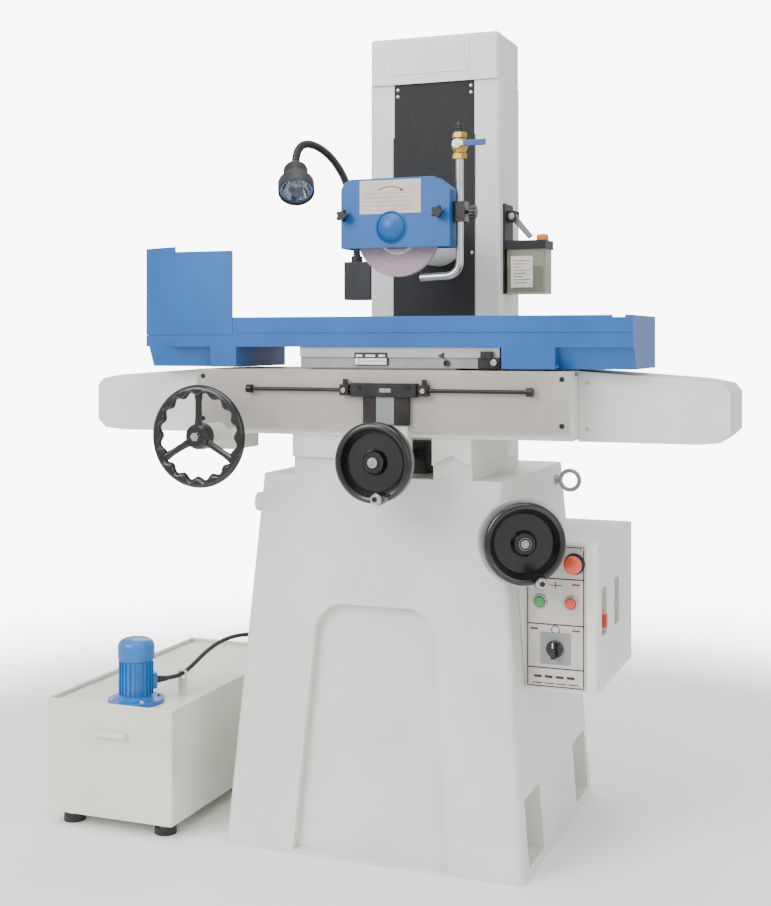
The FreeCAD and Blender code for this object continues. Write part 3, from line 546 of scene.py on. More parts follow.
# ---- finishes -------------------------------------------------------------
@dataclass(frozen=True)
class Finish:
    """One surface: a base colour that drifts to a second, with a fine relief of real grain size.

    grain_mm is the size of the relief's grains, stretch lengthens them along an axis, and drift_mm is the
    size of the patches of colour.
    """

    name: str
    colour: str
    shade: str
    roughness: float = 0.4
    metallic: float = 0.0
    coat: float = 0.0
    grain_mm: float = 1.5
    relief: float = 0.08
    stretch: tuple = (1.0, 1.0, 1.0)
    drift_mm: float = 90.0
    transmission: float = 0.0
    ior: float = 1.5

    def colour_output(self, tree: bpy.types.NodeTree, coords: bpy.types.NodeSocket) -> bpy.types.NodeSocket:
        """Patches between the two colours, with fine specks of the shade."""
        drift = add(tree, "ShaderNodeTexNoise", {"Scale": 1 / (self.drift_mm * MM), "Detail": 5.0},
                    {"Vector": coords})
        ramp = add(tree, "ShaderNodeMapRange", {"From Min": 0.35, "From Max": 0.7},
                   {"Value": drift.outputs["Fac"]})
        mix = add(tree, "ShaderNodeMix", {6: linear(self.colour), 7: linear(self.shade)},
                  {0: ramp.outputs[0]}, data_type="RGBA")
        return mix.outputs[2]

    def height_output(self, tree: bpy.types.NodeTree, coords: bpy.types.NodeSocket) -> bpy.types.NodeSocket:
        """Fine relief of the surface."""
        grain = add(tree, "ShaderNodeTexNoise", {"Scale": 1 / (self.grain_mm * MM), "Detail": 3.0},
                    {"Vector": coords})
        return grain.outputs["Fac"]

    def material(self) -> Material:
        """Builds the finish as a material."""
        made = bpy.data.materials.new(self.name)
        made.use_nodes = True
        tree = made.node_tree
        tree.nodes.clear()
        place_of = add(tree, "ShaderNodeTexCoord")
        plain = place_of.outputs["Object"]
        coords = add(tree, "ShaderNodeMapping", {"Scale": self.stretch}, {"Vector": plain}).outputs[0]
        height = self.height_output(tree, coords)
        uneven = add(tree, "ShaderNodeMapRange",
                     {"To Min": self.roughness * 0.85, "To Max": self.roughness * 1.15},
                     {"Value": height})
        bump = add(tree, "ShaderNodeBump", {"Strength": self.relief, "Distance": self.grain_mm * MM * 0.5},
                   {"Height": height})
        shader = add(tree, "ShaderNodeBsdfPrincipled",
                     {"Metallic": self.metallic, "Coat Weight": self.coat, "Coat Roughness": 0.15,
                      "IOR": self.ior,
                      "Transmission Weight": self.transmission},
                     {"Base Color": self.colour_output(tree, plain), "Roughness": uneven.outputs[0],
                      "Normal": bump.outputs[0]})
        add(tree, "ShaderNodeOutputMaterial", None, {"Surface": shader.outputs[0]})
        return made


@dataclass(frozen=True)
class Vitrified(Finish):
    """Vitrified aluminium oxide: packed grains, each its own tint, with pores between them."""

    def colour_output(self, tree: bpy.types.NodeTree, coords: bpy.types.NodeSocket) -> bpy.types.NodeSocket:
        """Each grain is lighter or darker than the next."""
        cells = add(tree, "ShaderNodeTexVoronoi", {"Scale": 1 / (self.grain_mm * MM)}, {"Vector": coords})
        value = add(tree, "ShaderNodeSeparateColor", None, {"Color": cells.outputs["Color"]})
        mix = add(tree, "ShaderNodeMix", {6: linear(self.colour), 7: linear(self.shade)},
                  {0: value.outputs[0]}, data_type="RGBA")
        return mix.outputs[2]

    def height_output(self, tree: bpy.types.NodeTree, coords: bpy.types.NodeSocket) -> bpy.types.NodeSocket:
        """Rounded grains with gaps."""
        cells = add(tree, "ShaderNodeTexVoronoi", {"Scale": 1 / (self.grain_mm * MM)}, {"Vector": coords})
        return add(tree, "ShaderNodeMath", {0: 1.0}, {1: cells.outputs["Distance"]},
                   operation="SUBTRACT").outputs[0]


@dataclass(frozen=True)
class Ground(Finish):
    """Ground iron: fine scratches along the stroke under a thin film of oil."""

    def height_output(self, tree: bpy.types.NodeTree, coords: bpy.types.NodeSocket) -> bpy.types.NodeSocket:
        """Long scratches of uneven depth."""
        fine = add(tree, "ShaderNodeTexNoise",
                   {"Scale": 1 / (self.grain_mm * MM), "Detail": 6.0, "Roughness": 0.7},
                   {"Vector": coords})
        return fine.outputs["Fac"]


@dataclass(frozen=True)
class Finishes:
    """Every finish on the machine. Grains finer than about 1 mm are drawn coarser so that they show."""

    # two-pack enamel over filled cast iron: satin, faint orange peel
    ivory_cast: Material = Finish("ivory_enamel_on_cast_iron", "DDE1DA", "D3D8CF", 0.38, coat=0.15,
        grain_mm=3.0, relief=0.10, drift_mm=160).material()
    # the same enamel sprayed on folded steel sheet: smoother
    ivory_sheet: Material = Finish("ivory_enamel_on_steel_sheet", "E2E5DE", "D9DDD4", 0.34, coat=0.2,
        grain_mm=2.0, relief=0.05, drift_mm=200).material()
    tank_sheet: Material = Finish("cream_enamel_on_tank_sheet", "E2E2D8", "D5D6C6", 0.42, coat=0.1,
        grain_mm=2.5, relief=0.06, drift_mm=150).material()
    # unpainted ground front of the saddle, clear-lacquered
    taupe: Material = Ground("ground_iron_lacquered", "B3ADA4", "A59E94", 0.42, 0.25, grain_mm=0.9,
        relief=0.10, stretch=(0.04, 1, 1), drift_mm=120).material()
    # gloss enamel on the coolant sheets: mid blue with slight peel
    blue: Material = Finish("blue_enamel_on_steel_sheet", "0D5DA6", "0A5498", 0.44, coat=0.1, grain_mm=2.2,
        relief=0.07, drift_mm=140).material()
    blue_cast: Material = Finish("blue_hammer_enamel_on_aluminium", "0F6DBB", "0C60A8", 0.40, coat=0.2,
        grain_mm=1.8, relief=0.14, drift_mm=60).material()
    ground: Material = Ground("ground_cast_iron", "C4C5BF", "B2B4AE", 0.30, 0.65, grain_mm=0.9, relief=0.10,
        stretch=(0.03, 1, 1), drift_mm=80).material()
    grey_band: Material = Ground("scraped_iron_grey", "9AA0A3", "8B9194", 0.42, 0.5, grain_mm=1.2,
        relief=0.12, stretch=(0.05, 1, 1), drift_mm=60).material()
    steel: Material = Ground("turned_bright_steel", "C3C6C8", "AEB2B5", 0.24, 0.95, grain_mm=0.8, relief=0.05,
        stretch=(1, 1, 0.2), drift_mm=40).material()
    dial: Material = Ground("satin_chrome_dial", "CFD2D0", "BFC3C1", 0.38, 0.8, grain_mm=0.7, relief=0.05,
        drift_mm=40).material()
    dark_steel: Material = Finish("blackened_steel", "2C2B2B", "3A3836", 0.38, 0.6, grain_mm=1.0, relief=0.10,
        drift_mm=25).material()
    bronze: Material = Finish("oil_blackened_rod", "3A2E35", "2E252B", 0.34, 0.7, grain_mm=1.0, relief=0.05,
        drift_mm=30).material()
    # moulded phenolic: deep gloss black with flow marks
    phenolic: Material = Finish("black_moulded_phenolic", "09090A", "0E0D10", 0.26, coat=0.3, grain_mm=4.0,
        relief=0.04, drift_mm=50).material()
    # woven, rubberised way-cover cloth on steel: dull black with a horizontal weave
    shield: Material = Finish("rubberised_black_cloth", "1C1C20", "151619", 0.72, grain_mm=2.4, relief=0.28,
        stretch=(0.35, 1, 1), drift_mm=70).material()
    charcoal: Material = Finish("charcoal_crinkle_enamel", "222427", "1A1B1E", 0.5, grain_mm=1.2, relief=0.25,
        drift_mm=40).material()
    wheel: Material = Vitrified("vitrified_aluminium_oxide", "A48FA0", "BBA7B5", 0.85, grain_mm=2.0,
        relief=0.55).material()
    blotter: Material = Finish("cream_blotter_card", "E6E3CC", "DAD6BC", 0.8, grain_mm=0.8, relief=0.15,
        drift_mm=20).material()
    brass: Material = Finish("machined_brass", "C8A24C", "B58F3E", 0.28, 0.95, grain_mm=0.8, relief=0.05,
        drift_mm=15).material()
    pipe: Material = Finish("satin_stainless_pipe", "C9CBC6", "B4B6B1", 0.26, 0.95, grain_mm=1.0, relief=0.04,
        stretch=(1, 1, 0.15), drift_mm=20).material()
    lever_blue: Material = Finish("blue_vinyl_grip", "33589C", "2A4B88", 0.45, grain_mm=1.0, relief=0.12,
        drift_mm=20).material()
    label: Material = Finish("brushed_label_plate", "C4BBB4", "B8AEA7", 0.45, 0.3, grain_mm=0.8, relief=0.06,
        stretch=(0.06, 1, 1), drift_mm=40).material()
    panel: Material = Finish("printed_aluminium_panel", "CFC8C1", "C4BDB5", 0.42, 0.35, grain_mm=0.8,
        relief=0.05, stretch=(0.06, 1, 1), drift_mm=60).material()
    ink: Material = Finish("black_printing_ink", "26262A", "303036", 0.55, grain_mm=0.8,
        relief=0.03).material()
    red_ink: Material = Finish("red_printing_ink", "A8342C", "9A2E28", 0.55, grain_mm=0.8,
        relief=0.03).material()
    red: Material = Finish("red_moulded_nylon", "E2502F", "D84526", 0.30, coat=0.4, grain_mm=1.5,
        relief=0.03).material()
    green: Material = Finish("green_moulded_nylon", "3FA64E", "379747", 0.30, coat=0.4, grain_mm=1.5,
        relief=0.03).material()
    orange: Material = Finish("orange_filler_cap", "E08A2C", "D57D22", 0.38, grain_mm=1.2,
        relief=0.05).material()
    grey_plastic: Material = Finish("grey_moulded_polymer", "8B9091", "7E8384", 0.42, grain_mm=1.2,
        relief=0.06).material()
    reservoir: Material = Finish("translucent_polypropylene", "D9DCC4", "CDD1B4", 0.32, grain_mm=3.0,
        relief=0.05, transmission=0.75, ior=1.49).material()
    oil: Material = Finish("way_oil", "8C8A55", "7D7B48", 0.12, grain_mm=5.0, relief=0.0, transmission=0.4,
        ior=1.47).material()
    paper: Material = Finish("paper_label", "F1F1EE", "E7E7E2", 0.7, grain_mm=0.8, relief=0.05).material()
    rubber: Material = Finish("black_cable_sheath", "1C1C1E", "26262A", 0.52, grain_mm=1.2, relief=0.10,
        drift_mm=25).material()
    glass: Material = Finish("lamp_lens_glass", "F4F6F6", "ECEFEF", 0.05, transmission=1.0, grain_mm=6.0,
        relief=0.0, ior=1.5).material()
    mirror: Material = Finish("polished_reflector", "E8E8E4", "DCDCD8", 0.12, 0.95, grain_mm=2.0,
        relief=0.03).material()
    opal: Material = Finish("opal_bulb_glass", "F6F4EA", "EEEBDE", 0.3, grain_mm=2.0, relief=0.02).material()
    window: Material = Finish("smoked_window", "1A1E1F", "131616", 0.12, coat=0.6, grain_mm=5.0,
        relief=0.0).material()


# ---- fasteners ------------------------------------------------------------
def socket_screw(radius: float, height: float) -> BMesh:
    """Cap-head screw with a hexagon socket, standing on z = 0."""
    return turned([(0, height * 0.45), (radius * 0.5, height * 0.45), (radius * 0.55, height),
                   (radius * 0.86, height), (radius, height * 0.86), (radius, 0), (0, 0)], 20)


def hex_nut(radius: float, height: float) -> BMesh:
    """Six-sided nut with a chamfered top, standing on z = 0."""
    return turned([(0, height), (radius * 0.86, height), (radius, height * 0.82), (radius, 0), (0, 0)], 6)


def pan_screw(radius: float, height: float) -> BMesh:
    """Domed screw head, standing on z = 0."""
    curve = [(radius * math.sin(a), height * math.cos(a)) for a in [math.radians(15 * i) for i in range(7)]]
    return turned(curve + [(0, 0)], 16)


# ---- sub-assemblies -------------------------------------------------------
@dataclass
class Assembly:
    """A sub-assembly of the machine, dressed from the shared finishes."""

    finishes: Finishes


@dataclass
class BaseAndColumn(Assembly):
    """Tapered base casting, the column that stands on it, its cap and the black way shields."""

    plate_border: float = 34.0
    screw_radius: float = 4.2
    shield_travel: float = 0.094

    def build(self) -> None:
        """Makes the castings, the cap, the shields and their screws."""
        finished("base_casting", self.finishes.ivory_cast, 2.5)
        finished("column_casting", self.finishes.ivory_cast, 1.5)
        finished("column_cap", self.finishes.ivory_sheet, 0.5)
        finished("column_shield", self.finishes.shield, 0.3)
        finished("head_shield", self.finishes.shield, 0.3)
        finished("eyebolts", self.finishes.grey_band, 0.3)
        finished("cross_nut", self.finishes.dark_steel, 0.6)
        self.blank_plate()
        self.screws()

    def blank_plate(self) -> None:
        """A blank plate on the front of the cap, held under a thin raised border."""
        low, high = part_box("column_cap")
        x0, x1 = low.x / MM + self.plate_border + 10, high.x / MM - self.plate_border - 36
        z0, z1 = low.z / MM + 24, high.z / MM - 16
        y = low.y / MM
        plate = block(mm(x0, y - 1.2, z0), mm(x1, y + 0.5, z1), 0.5)
        settle("blank_name_plate", plate, "root", self.finishes.ivory_sheet, slot="ivory_sheet")
        border = strip([(x0, z0), (x1, z0), (x1, z1), (x0, z1), (x0, z0)], 1.6, y - 1.7, 0.8)
        settle("name_plate_border", border, "root", self.finishes.ground, slot="ivory_sheet")

    def screws(self) -> None:
        """Screws along the shields' edges and in the cap's sides."""
        low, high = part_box("column_shield")
        inset = 7 * MM
        facing = Vector(Axis.TO_OPERATOR.value)
        head_low, head_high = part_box("head_shield")
        upper = [(Vector((x, low.y, z)), facing) for x in (low.x + inset, high.x - inset)
                 for z in (head_high.z + self.shield_travel, high.z - 0.012)]
        lower = [(Vector((x, head_low.y, z)), facing) for x in (head_low.x + inset, head_high.x - inset)
                 for z in (1.02, 1.235)]
        copies("column_shield_screws", pan_screw(self.screw_radius, 1.4), upper, "root", self.finishes.steel)
        copies("head_shield_screws", pan_screw(self.screw_radius, 1.4), lower, "head", self.finishes.steel)
        cap_low, cap_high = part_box("column_cap")
        spots = [(Vector((side.value * cap_high.x, y, cap_low.z + 0.018)), Vector((side.value, 0, 0)))
                 for side in Side for y in (cap_low.y + 0.03, cap_high.y - 0.03)]
        copies("cap_screws", pan_screw(4.5, 1.8), spots, "root", self.finishes.steel, (0, 0, 1))
        self.foot_bolts()

    def foot_bolts(self) -> bpy.types.Object:
        """Levelling nuts in the four foot pockets."""
        pattern = next(m for m in frame["record"]["mounts"] if m["name"] == "foundation_bolts")["dims"]
        half_x, half_y = pattern["spacing_x_mm"] / 2, pattern["spacing_y_mm"] / 2
        spots = [(mm(sx * half_x, sy * half_y, 20.2), Vector((0, 0, 1))) for sx in (-1, 1) for sy in (-1, 1)]
        washer_and_nut = join([turned([(0, 3), (16, 3), (16, 0), (0, 0)], 32), hex_nut(13.5, 16),
                               turned([(0, 30), (7, 30), (8, 28.5), (8, 0), (0, 0)], 24)])
        return copies("levelling_nuts", washer_and_nut, spots, "root", self.finishes.dark_steel,
                      (1, 0, 0))


@dataclass
class Saddle(Assembly):
    """Saddle casting with its ground front, the way covers at both ends and the trip gear."""

    panel_thick: float = 1.0
    block_front: float = -0.2912
    rod_height: float = 0.9475

    def build(self) -> None:
        """Makes the saddle and all that rides on it."""
        finished("saddle_casting", self.finishes.ivory_cast, 1.5)
        low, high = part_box("saddle_casting")
        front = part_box("trip_rod")[1].y
        face = block(Vector((low.x, front - self.panel_thick * MM, PLATE_FRONT_LOW)),
                     Vector((high.x, front, high.z)),
                     0.3)
        settle("saddle_ground_front", face, "saddle", self.finishes.taupe, slot="taupe_paint")
        for side in Side:
            self.way_cover(side)
        frame["nodes"]["drive_belt"].data.materials.clear()
        frame["nodes"]["drive_belt"].data.materials.append(self.finishes.rubber)
        finished("trip_rod", self.finishes.bronze, 0.4)
        for name in ("trip_dog_left", "trip_dog_right"):
            finished(name, self.finishes.dark_steel, 0.6)
            self.dog_screw(name)
        self.screws(front)

    def trip_plates(self, front: float) -> None:
        """Blackened clamp plates over the trip block, with the lighter ribs down its middle.

        Args:
            front: where the saddle's front face is along Y.
        """
        y = front / MM
        plates = join([block(mm(-42.4, y - 19.6, 926.6), mm(-4, y - 0.2, 954.4), 1.0),
                       block(mm(-4.4, y - 19.3, 929), mm(58, y - 0.2, 951), 0.8),
                       block(mm(57.6, y - 19.6, 926.6), mm(96.4, y - 0.2, 954.4), 1.0),
                       block(mm(-18.4, y - 12.4, 871.6), mm(10, y - 0.2, 928), 0.8),
                       block(mm(48, y - 12.4, 871.6), mm(78.4, y - 0.2, 928), 0.8)])
        settle("trip_block_plates", plates, "saddle", self.finishes.dark_steel, slot="dark_metal")
        ribs = join([block(mm(10, y - 12.3, 872), mm(48, y - 0.2, 928), 0.6),
                     block(mm(20, y - 20.4, 936), mm(44, y - 18.8, 944), 0.5)])
        settle("trip_block_ribs", ribs, "saddle", self.finishes.grey_band, slot="steel")

    def way_cover(self, side: Side) -> None:
        """One end cover and its fixing screws."""
        node = "way_cover_" + side.name.lower()
        finished(node, self.finishes.ivory_sheet, 4.0)
        low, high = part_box(node)
        near = low.x if side is Side.RIGHT else high.x
        spots = [(Vector((near + side.value * 0.018, low.y, z)), Vector((0, -1, 0)))
                 for z in (low.z + 0.024, high.z - 0.024)]
        copies(node + "_screws", pan_screw(4.5, 2.0), spots, "saddle", self.finishes.steel)

    def dog_screw(self, node: str) -> None:
        """The thumb screw that locks a trip dog on its rod."""
        low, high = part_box(node)
        base = Vector(((low.x + high.x) / 2, low.y, (low.z + high.z) / 2 - 0.006))
        screw = turned([(0, 5), (4.2, 5), (5, 4), (5, 0), (0, 0)], 24)
        stand(node + "_screw", screw, base, Axis.TO_OPERATOR.value, body_of(node), self.finishes.steel,
              slot="steel")

    def screws(self, front: float) -> None:
        """Socket screws that hold the trip block and the front plate.

        Args:
            front: where the saddle's front face is along Y.
        """
        low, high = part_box("trip_rod")
        middle = (low.x + high.x) / 2
        self.trip_plates(front)
        spots = [(Vector((middle + dx, self.block_front, self.rod_height)), Vector((0, -1, 0)))
                 for dx in (-0.052, 0.052)]
        copies("trip_block_screws", socket_screw(4.5, 3.0), spots, "saddle", self.finishes.dark_steel)
        corners = [(Vector((x, front - 0.001, z)), Vector((0, -1, 0))) for x in (-0.385, 0.385)
                   for z in (0.876, 0.965)]
        copies("saddle_front_screws", socket_screw(5.0, 1.5), corners, "saddle", self.finishes.dark_steel)


@dataclass
class Table(Assembly):
    """Travelling table with its T-slot, splash tray and tall splash guard."""

    plate: tuple = (72.0, 26.0)
    plate_at: tuple = (-46.0, 1002.0)

    def build(self) -> None:
        """Makes the table, the tray, the guard and their small fittings."""
        finished("machine_table", self.finishes.ground, 0.8)
        finished("splash_tray", self.finishes.blue, 0.9)
        finished("splash_guard", self.finishes.blue, 0.5)
        low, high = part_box("machine_table")
        self.front_details(low, high)
        self.clamp_block(low)

    def front_details(self, low: Vector, high: Vector) -> None:
        """Lower grey band, blank rating plate, feed arrow and oil hole on the table's front.

        Args:
            low, high: the corners of the table's box.
        """
        y = low.y / MM
        x0, x1 = low.x / MM + 18, high.x / MM - 16
        band = block(mm(x0, y + 4.6, 984.3), mm(x1, y + 6.2, 1004.8), 0.4)
        settle("table_lower_band", band, "table", self.finishes.grey_band, slot="ground_iron")
        px, pz = self.plate_at
        wide, half = self.plate[0], self.plate[1] / 2
        plate = block(mm(px, y - 1.0, pz - half), mm(px + wide, y + 6.4, pz + half), 0.5)
        settle("table_rating_plate", plate, "table", self.finishes.ink, slot="dark_metal")
        field = block(mm(px + 1.8, y - 1.4, pz - half + 1.8), mm(px + wide - 1.8, y - 0.6, pz + 1.2), 0.2)
        settle("table_plate_field", field, "table", self.finishes.paper, slot="panel_silver")
        rows = [strip([(px + 5 + 7 * i, pz + 6.4), (px + 9.5 + 7 * i, pz + 6.4)], 4.4, y - 1.3, 0.5)
                for i in (0, 1, 3, 4, 5, 7, 8)]
        settle("table_plate_marks", join(rows), "table", self.finishes.paper, slot="panel_silver")
        rules = [strip([(px + 14, pz - 4.5), (px + wide - 4, pz - 4.5)], 1.2, y - 1.6, 0.4),
                 strip([(px + 11, pz + 0.6), (px + 11, pz - 11)], 1.2, y - 1.6, 0.4)]
        settle("table_plate_rules", join(rules), "table", self.finishes.ink, slot="dark_metal")
        arrow = flat_shape([(132, 1009), (146, 1016), (146, 1002)], y - 0.5, 0.8)
        settle("feed_arrow", arrow, "table", self.finishes.ink, slot="dark_metal")
        # The oil hole is drawn as a black cup: its black stands for the shade inside the hole, painted shade,
        # given the ink finish.
        hole = turned([(0, -3), (4.2, -3), (4.6, 0.8), (6.4, 0.8), (6.4, -4), (0, -4)], 32)
        stand("table_oil_nipple", hole, mm(150, y, 994), Axis.TO_OPERATOR.value, "table", self.finishes.ink,
              slot="dark_metal")

    def clamp_block(self, low: Vector) -> None:
        """Dark stop block at the right end of the table, with its bright knurled knob."""
        y = low.y / MM
        body = join([block(mm(218, y - 12, 984.5), mm(262, y + 6, 1006), 1.2),
                     block(mm(224, y - 15, 1002), mm(246, y + 2, 1018), 1.2)])
        settle("table_stop_block", body, "table", self.finishes.dark_steel, slot="dark_metal")
        knob = turned([(0, 10), (5, 10), (6.5, 8.5), (6.5, 2), (4.5, 0), (0, 0)], 24)
        stand("table_stop_knob", knob, mm(252, y - 12, 996), Axis.TO_OPERATOR.value, "table",
              self.finishes.steel, slot="steel")


@dataclass
class Handwheels(Assembly):
    """The three handwheels with their dials, grips and hub nuts."""

    rim_radius: float = 95.0
    grips: float = 16.0
    dial_marks: int = 72

    def build(self) -> None:
        """Makes the table, cross-feed and elevating handwheels."""
        self.table_wheel()
        self.dished(JOINTS["cross_wheel_turn"], "cross_handwheel", 62.0, -17.0, -41.0)
        self.dished(JOINTS["lift_wheel_turn"], "elevating_handwheel", 86.0, -17.6, -33.4)
        for handle, joint in (("cross_handle", "cross_handle_spin"),
                              ("elevating_handle", "lift_handle_spin")):
            finished(handle, self.finishes.phenolic, 0.4)
            self.ferrule(handle, JOINTS[joint])
        for node in ("cross_screw", "elevating_shaft", "elevating_screw", "drive_pulley"):
            finished(node, self.finishes.steel, 0.3)

    def table_wheel(self) -> None:
        """Open ring with rounded finger grips inside, three spokes and a turned hub."""
        joint = JOINTS["table_wheel_turn"]
        centre = Vector(joint["pos_m"])
        empty = bpy.data.meshes.new("rim_start")
        mesh = grown_mesh(WAVY_RIM, empty,
                          {"Radius": self.rim_radius * MM, "Thickness": 10 * MM, "Grips": self.grips,
                                           "Depth": -4.0 * MM, "Finish": self.finishes.phenolic})
        rim = bmesh.new()
        rim.from_mesh(mesh)
        bpy.data.meshes.remove(mesh)
        bmesh.ops.recalc_face_normals(rim, faces=rim.faces)
        spokes = []
        for turn in (0, 120, 240):
            arm = turned([(0, 0), (9.5, 0), (7.5, 20), (7.0, 50), (9.5, 70), (0, 70)], 24)
            bmesh.ops.scale(arm, vec=(1, 0.62, 1), verts=arm.verts)
            place(arm, Vector(), (0, 1, 0))
            bmesh.ops.translate(arm, vec=mm(0, 18, 0), verts=arm.verts)
            spin = Matrix.Rotation(math.radians(turn), 4, "Z")
            bmesh.ops.transform(arm, matrix=spin, verts=arm.verts)
            spokes.append(arm)
        hub = turned([(0, 14), (8, 14), (10, 12), (20, 12), (25, 8), (27, 0), (28, -14), (10, -14), (0, -14)],
                     64)
        wheel = join([rim, hub] + spokes)
        stand("table_handwheel_finished", wheel, centre, Axis.TO_OPERATOR.value, "table_wheel",
              self.finishes.phenolic, ["table_handwheel"])
        nut = join([hex_nut(9, 6), turned([(0, 9), (5, 9), (5.6, 8), (5.6, 0), (0, 0)], 24)])
        stand("table_handwheel_nut", nut, centre + mm(0, -14, 0), Axis.TO_OPERATOR.value, "table_wheel",
              self.finishes.steel, slot="steel")

    def ferrule(self, handle: str, joint: dict) -> None:
        """Bright ring at the free end of a revolving handle."""
        seat, axis = Vector(joint["pos_m"]), Vector(joint["axis"])
        corners = [frame["nodes"][handle].matrix_world @ v.co for v in frame["nodes"][handle].data.vertices]
        end = max((corner - seat).dot(axis) for corner in corners)
        ring = turned([(5, -7), (11.6, -7), (11.2, -3.5), (8.6, 0.6), (5.2, 1.0), (5, -7)], 40)
        stand(handle + "_ferrule", ring, seat + axis * end, axis, joint["child"], self.finishes.steel,
              slot="steel")

    def dished(self, joint: dict, node: str, dial_radius: float, dial_front: float, dial_back: float) -> None:
        """A dished wheel: black body from the solid, satin dial ring with marks, and the hub screw.

        Args:
            joint: the joint that it turns on; its axis points at the operator.
            node: the wheel's solid.
            dial_radius, dial_front, dial_back: the dial ring's radius and its two ends along the axis, in mm.
        """
        centre, axis, body = Vector(joint["pos_m"]), Vector(joint["axis"]), joint["child"]
        radius = 79.0 if node == "cross_handwheel" else 80.0
        rim = radius - 15
        wheel = turned([(0, 8), (20, 8), (22, 6), (26, -4), (rim - 8, -5), (rim - 2, 2), (rim, 9),
                        (rim + 3, 13),
                        (rim + 7, 14.4), (radius - 4, 13.2), (radius - 1, 10), (radius, 5), (radius, -8),
                        (radius - 2, -12), (radius - 6, -14), (rim + 3, -14), (rim, -12), (22, -12), (22,
                                                                                                      -16),
                        (0, -16)], 96)
        stand(node + "_finished", wheel, centre, axis, body, self.finishes.phenolic, [node])
        ring = turned([(10.5, dial_front), (dial_radius - 1, dial_front), (dial_radius, dial_front - 1.2),
                       (dial_radius, dial_back + 1), (dial_radius - 1, dial_back), (10.5, dial_back),
                       (10.5, dial_front)], 120)
        stand(node + "_dial", ring, centre, axis, body, self.finishes.dial, slot="steel")
        side = axis.cross(Vector((0, 0, 1))).normalized()
        spots = []
        for i in range(self.dial_marks):
            angle = 2 * math.pi * i / self.dial_marks
            radial = side * math.cos(angle) + Vector((0, 0, 1)) * math.sin(angle)
            depth = 3.5 if i % 6 == 0 else 2.2
            spots.append((centre + axis * (dial_front - depth) * MM + radial * dial_radius * MM, radial))
        mark = block(mm(-2.6, -0.35, -0.2), mm(2.6, 0.35, 0.15), 0)
        copies(node + "_dial_marks", mark, spots, body, self.finishes.ink, tuple(axis))
        cap = turned([(8, 2.4), (11, 2.4), (12, 1.4), (12, 0), (8, 0), (8, 2.4)], 48)
        stand(node + "_hub_washer", cap, centre + axis * 8 * MM, axis, body, self.finishes.dark_steel,
              slot="dark_metal")
        screw = join([hex_nut(6.5, 5.5), turned([(0, 9), (3.4, 9), (4, 8), (4, 0), (0, 0)], 24)])
        stand(node + "_hub_nut", screw, centre + axis * 8 * MM, axis, body, self.finishes.steel, slot="steel")


